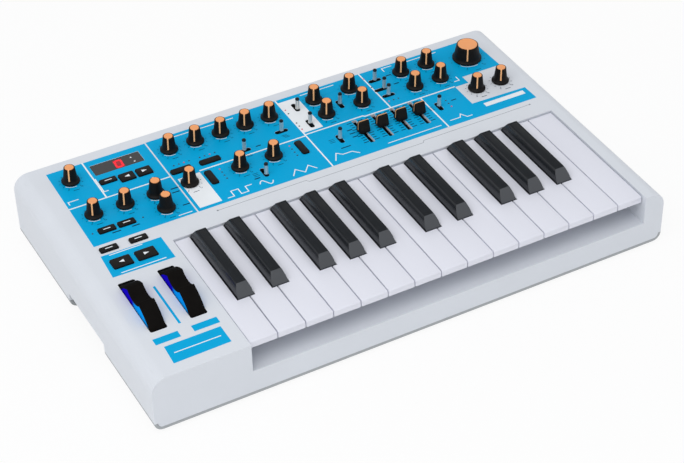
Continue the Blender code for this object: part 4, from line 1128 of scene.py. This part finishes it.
class SYNTH_OT_buttons(Operator):
    """Builds the button caps and the signs on them"""

    bl_idname = "synth.buttons"
    bl_label = "Buttons"

    def execute(self, context):
        black = finish("button plastic", soft_touch, context.scene.synth_controls.black, 0.45)
        materials = [black, white_ink()]
        for i, (x, y, width, height, sign) in enumerate(BUTTONS):
            bm = placed(button_shape(width, height, sign), x, y)
            make_piece(f"button_{i + 1:02}", bm, materials, "button_mat", ["button_mat"])
        return {"FINISHED"}


def wheel_shape(name):
    """A wheel with sunk sides and a rounded rim."""
    hub, border = mm((20, 2.4))
    bm = merged_copy(name)
    walls = [corner.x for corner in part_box(name)]
    pivot = Vector(JOINTS[name]["pos_m"])
    for side in [face for face in bm.faces if abs(face.normal.x) > 0.99]:
        bmesh.ops.inset_region(bm, faces=[side], thickness=border, depth=0)
        bmesh.ops.inset_region(bm, faces=[side], thickness=mm(0.1), depth=mm(-0.4))
        side.material_index = 1
    rim = [
        edge
        for edge in bm.edges
        if edge.calc_face_angle(0) > 1.2
        and all(min(abs(vert.co.x - wall) for wall in walls) < 1e-5 for vert in edge.verts)
        and all((Vector(vert.co.yz) - pivot.yz).length > hub for vert in edge.verts)
    ]
    soften(bm, rim, mm(0.7))
    return bm


class SYNTH_OT_wheels(Operator):
    """Builds the pitch and modulation wheels"""

    bl_idname = "synth.wheels"
    bl_label = "Wheels"

    def execute(self, context):
        settings = context.scene.synth_controls
        black = finish("wheel rubber", soft_touch, settings.black, 0.8, 0.02)
        colours = (settings.wheel_rear, settings.wheel_front)
        glow = finish("wheel glow", lit_wheel_side, *colours, JOINTS["pitch_wheel"]["pos_m"][1])
        for name in WHEELS:
            make_piece(f"finished_{name}", wheel_shape(name), [black, glow], name, [name])
        return {"FINISHED"}


def digit_shapes():
    """The bars of the digit on their plate, the unlit ones and the plate in the second material."""
    x, y = DIGIT_MIDDLE
    low, plate_top, bar_top = mm((-0.3, -0.16, -0.12))
    shapes = [placed(painted(prism(rounded(*DIGIT_PLATE, 2), low, plate_top), 1), x, y)]
    for right, up, level, lit in DIGIT_BARS:
        outline = rounded(*DIGIT_BAR[:: 1 if level else -1], mm(0.6), 2)
        shapes.append(placed(painted(prism(outline, low, bar_top), int(not lit)), x + right, y + up))
    return shapes


def arrow_shapes():
    half, low, high = mm((1, -0.3, -0.12))
    shapes = []
    for x, y, tip, foot in DISPLAY_ARROWS:
        shapes.append(placed(prism(((-half, foot), (half, foot), (0, tip)), low, high), x, y))
    return shapes


def lamp_shapes():
    """The indicator lamps, the lit ones in the second material."""
    shapes = []
    for (x, y), (step_x, step_y), states in LAMP_ROWS:
        for i, state in enumerate(states):
            lamp = painted(turned(LAMP_PROFILE, 16), int(state == "*"))
            shapes.append(placed(lamp, x + i * step_x, y + i * step_y))
    return shapes


class SYNTH_OT_display(Operator):
    """Builds the display window, its digit and the indicator lamps"""

    bl_idname = "synth.display"
    bl_label = "Display and lamps"

    def execute(self, context):
        settings = context.scene.synth_controls
        smoked = finish("smoked window", smoked_glass, srgb("242429"))
        lit = finish("lit digit", glowing, settings.digit, 0.7)
        faint = finish("unlit digit", glowing, srgb("8E0016"), 0.45)
        off = finish("unlit lamp", smoked_glass, settings.lamp_off)
        on = finish("lit lamp", glowing, settings.lamp_on, 0.3)
        wide, high = (size - mm(0.4) for size in DISPLAY_SIZE)
        window = placed(prism(rounded(wide, high, mm(0.5)), *mm((-1.2, -0.2))), *DISPLAY_CENTRE)
        for name, shapes, materials in (
            ("display_window", [window], [smoked]),
            ("display_digit", digit_shapes(), [lit, faint]),
            ("display_arrows", arrow_shapes(), [white_ink()]),
            ("indicator_lamps", lamp_shapes(), [off, on]),
        ):
            make_piece(name, together(*shapes), materials, "case")
        return {"FINISHED"}


# Stage


# Lights: name, place and size
LIGHTS = (
    ("key light", (-0.9, -0.5, 1.5), 1.4), ("fill light", (1.2, -0.4, 1.2), 1.4),
    ("front light", (-0.3, -1.6, 0.45), 1.2),
)


class SYNTH_OT_stage(Operator):
    """Sets the floor, the lights and the camera"""

    bl_idname = "synth.stage"
    bl_label = "Stage"

    def execute(self, context):
        stage = context.scene.synth_stage
        context.scene.view_settings.view_transform = "Standard"
        bm = bmesh.new()
        bmesh.ops.create_grid(bm, x_segments=1, y_segments=1, size=6)
        floor = make_object("floor", bm, context.scene.collection)
        floor.data.materials.append(floor_material())
        set_sky(context.scene, stage.sky)
        for (name, place, size), power in zip(LIGHTS, stage.lights):
            add_light(name, place, size, power)
        add_camera(context.scene, stage)
        return {"FINISHED"}


def seen_directly(tree):
    """One where the camera, a reflection or clear plastic sees the surroundings, else nought."""
    seen = add_node(tree, "LightPath", {}, "Is Camera Ray")
    rays = seen.node.outputs
    for name in ("Is Glossy Ray", "Is Transmission Ray"):
        seen = add_node(tree, "Math", {0: seen, 1: rays[name]}, operation="MAXIMUM")
    return seen


def blend(tree, share, lit, seen, output):
    """Shows one shader to the lamps and, by a share, another to what sees it directly."""
    mix = add_node(tree, "MixShader", {"Fac": share, 1: lit, 2: seen})
    feed(tree, mix, tree.nodes[output].inputs["Surface"])


def floor_material():
    """A pale floor that is white to the camera where no shadow lies."""
    material = make_material("floor paper", (0.9, 0.9, 0.9), 0.8, tint=(3, 2, 0.01))
    tree = material.node_tree
    share = add_node(tree, "Math", {0: seen_directly(tree), 1: 0.9}, operation="MULTIPLY")
    paper = tree.nodes["Principled BSDF"].outputs["BSDF"]
    blend(tree, share, paper, add_node(tree, "Emission", {"Strength": 1}), "Material Output")
    return material


def set_sky(scene, strength):
    """Even light from all round, white where the camera or a reflection sees it."""
    scene.world = bpy.data.worlds.new("studio")
    scene.world.use_nodes = True
    tree = scene.world.node_tree
    sky = tree.nodes["Background"]
    sky.inputs["Strength"].default_value = strength
    sky.inputs["Color"].default_value = (0.97, 0.985, 1.0, 1)
    seen = add_node(tree, "Background", {"Strength": 1})
    blend(tree, seen_directly(tree), sky.outputs["Background"], seen, "World Output")


def add_light(name, place, size, power):
    data = bpy.data.lights.new(name, "AREA")
    data.size = size
    data.energy = power
    lamp = bpy.data.objects.new(name, data)
    bpy.context.scene.collection.objects.link(lamp)
    lamp.location = place
    lamp.rotation_euler = (-Vector(place)).to_track_quat("-Z", "Y").to_euler()


def add_camera(scene, stage):
    """The camera, at the photograph's viewing angle."""
    data = bpy.data.cameras.new("camera")
    data.sensor_width = 36
    data.lens = stage.lens
    data.clip_start, data.clip_end = 0.01, 100
    camera = bpy.data.objects.new("camera", data)
    scene.collection.objects.link(camera)
    scene.camera = camera
    aim = Matrix.Rotation(stage.azimuth, 4, "Z") @ Matrix.Rotation(pi / 2 - stage.elevation, 4, "X")
    tilt = Matrix.Rotation(stage.roll, 4, "Z")
    away = Matrix.Translation((0, 0, stage.distance))
    camera.matrix_world = Matrix.Translation(stage.target) @ aim @ tilt @ away


class SYNTH_PT_panel(Panel):
    """Lists the pieces in the 3D view's sidebar"""

    bl_idname = "SYNTH_PT_panel"
    bl_label = "Analog synthesizer"
    bl_space_type = "VIEW_3D"
    bl_region_type = "UI"
    bl_category = "Synthesizer"

    def draw(self, context):
        for operator in OPERATORS:
            self.layout.operator(operator.bl_idname)
        for name in SETTINGS:
            group = getattr(context.scene, name)
            box = self.layout.box()
            for key in group.__annotations__:
                box.prop(group, key)


OPERATORS = (
    SYNTH_OT_stage, SYNTH_OT_case, SYNTH_OT_print, SYNTH_OT_keys, SYNTH_OT_knobs, SYNTH_OT_faders,
    SYNTH_OT_switches, SYNTH_OT_buttons, SYNTH_OT_wheels, SYNTH_OT_display,
)


def register():
    for group in SETTINGS.values():
        bpy.utils.register_class(group)
    for name, group in SETTINGS.items():
        setattr(bpy.types.Scene, name, PointerProperty(type=group))
    for shown in (*OPERATORS, SYNTH_PT_panel):
        bpy.utils.register_class(shown)


def unregister():
    for shown in (SYNTH_PT_panel, *reversed(OPERATORS)):
        bpy.utils.unregister_class(shown)
    for name in SETTINGS:
        delattr(bpy.types.Scene, name)
    for group in reversed(SETTINGS.values()):
        bpy.utils.unregister_class(group)


def main():
    register()
    bpy.ops.synth.stage()
    bpy.ops.synth.case()
    bpy.ops.synth.print()
    bpy.ops.synth.keys()
    bpy.ops.synth.knobs()
    bpy.ops.synth.faders()
    bpy.ops.synth.switches()
    bpy.ops.synth.buttons()
    bpy.ops.synth.wheels()
    bpy.ops.synth.display()


if __name__ == "__main__":
    main()
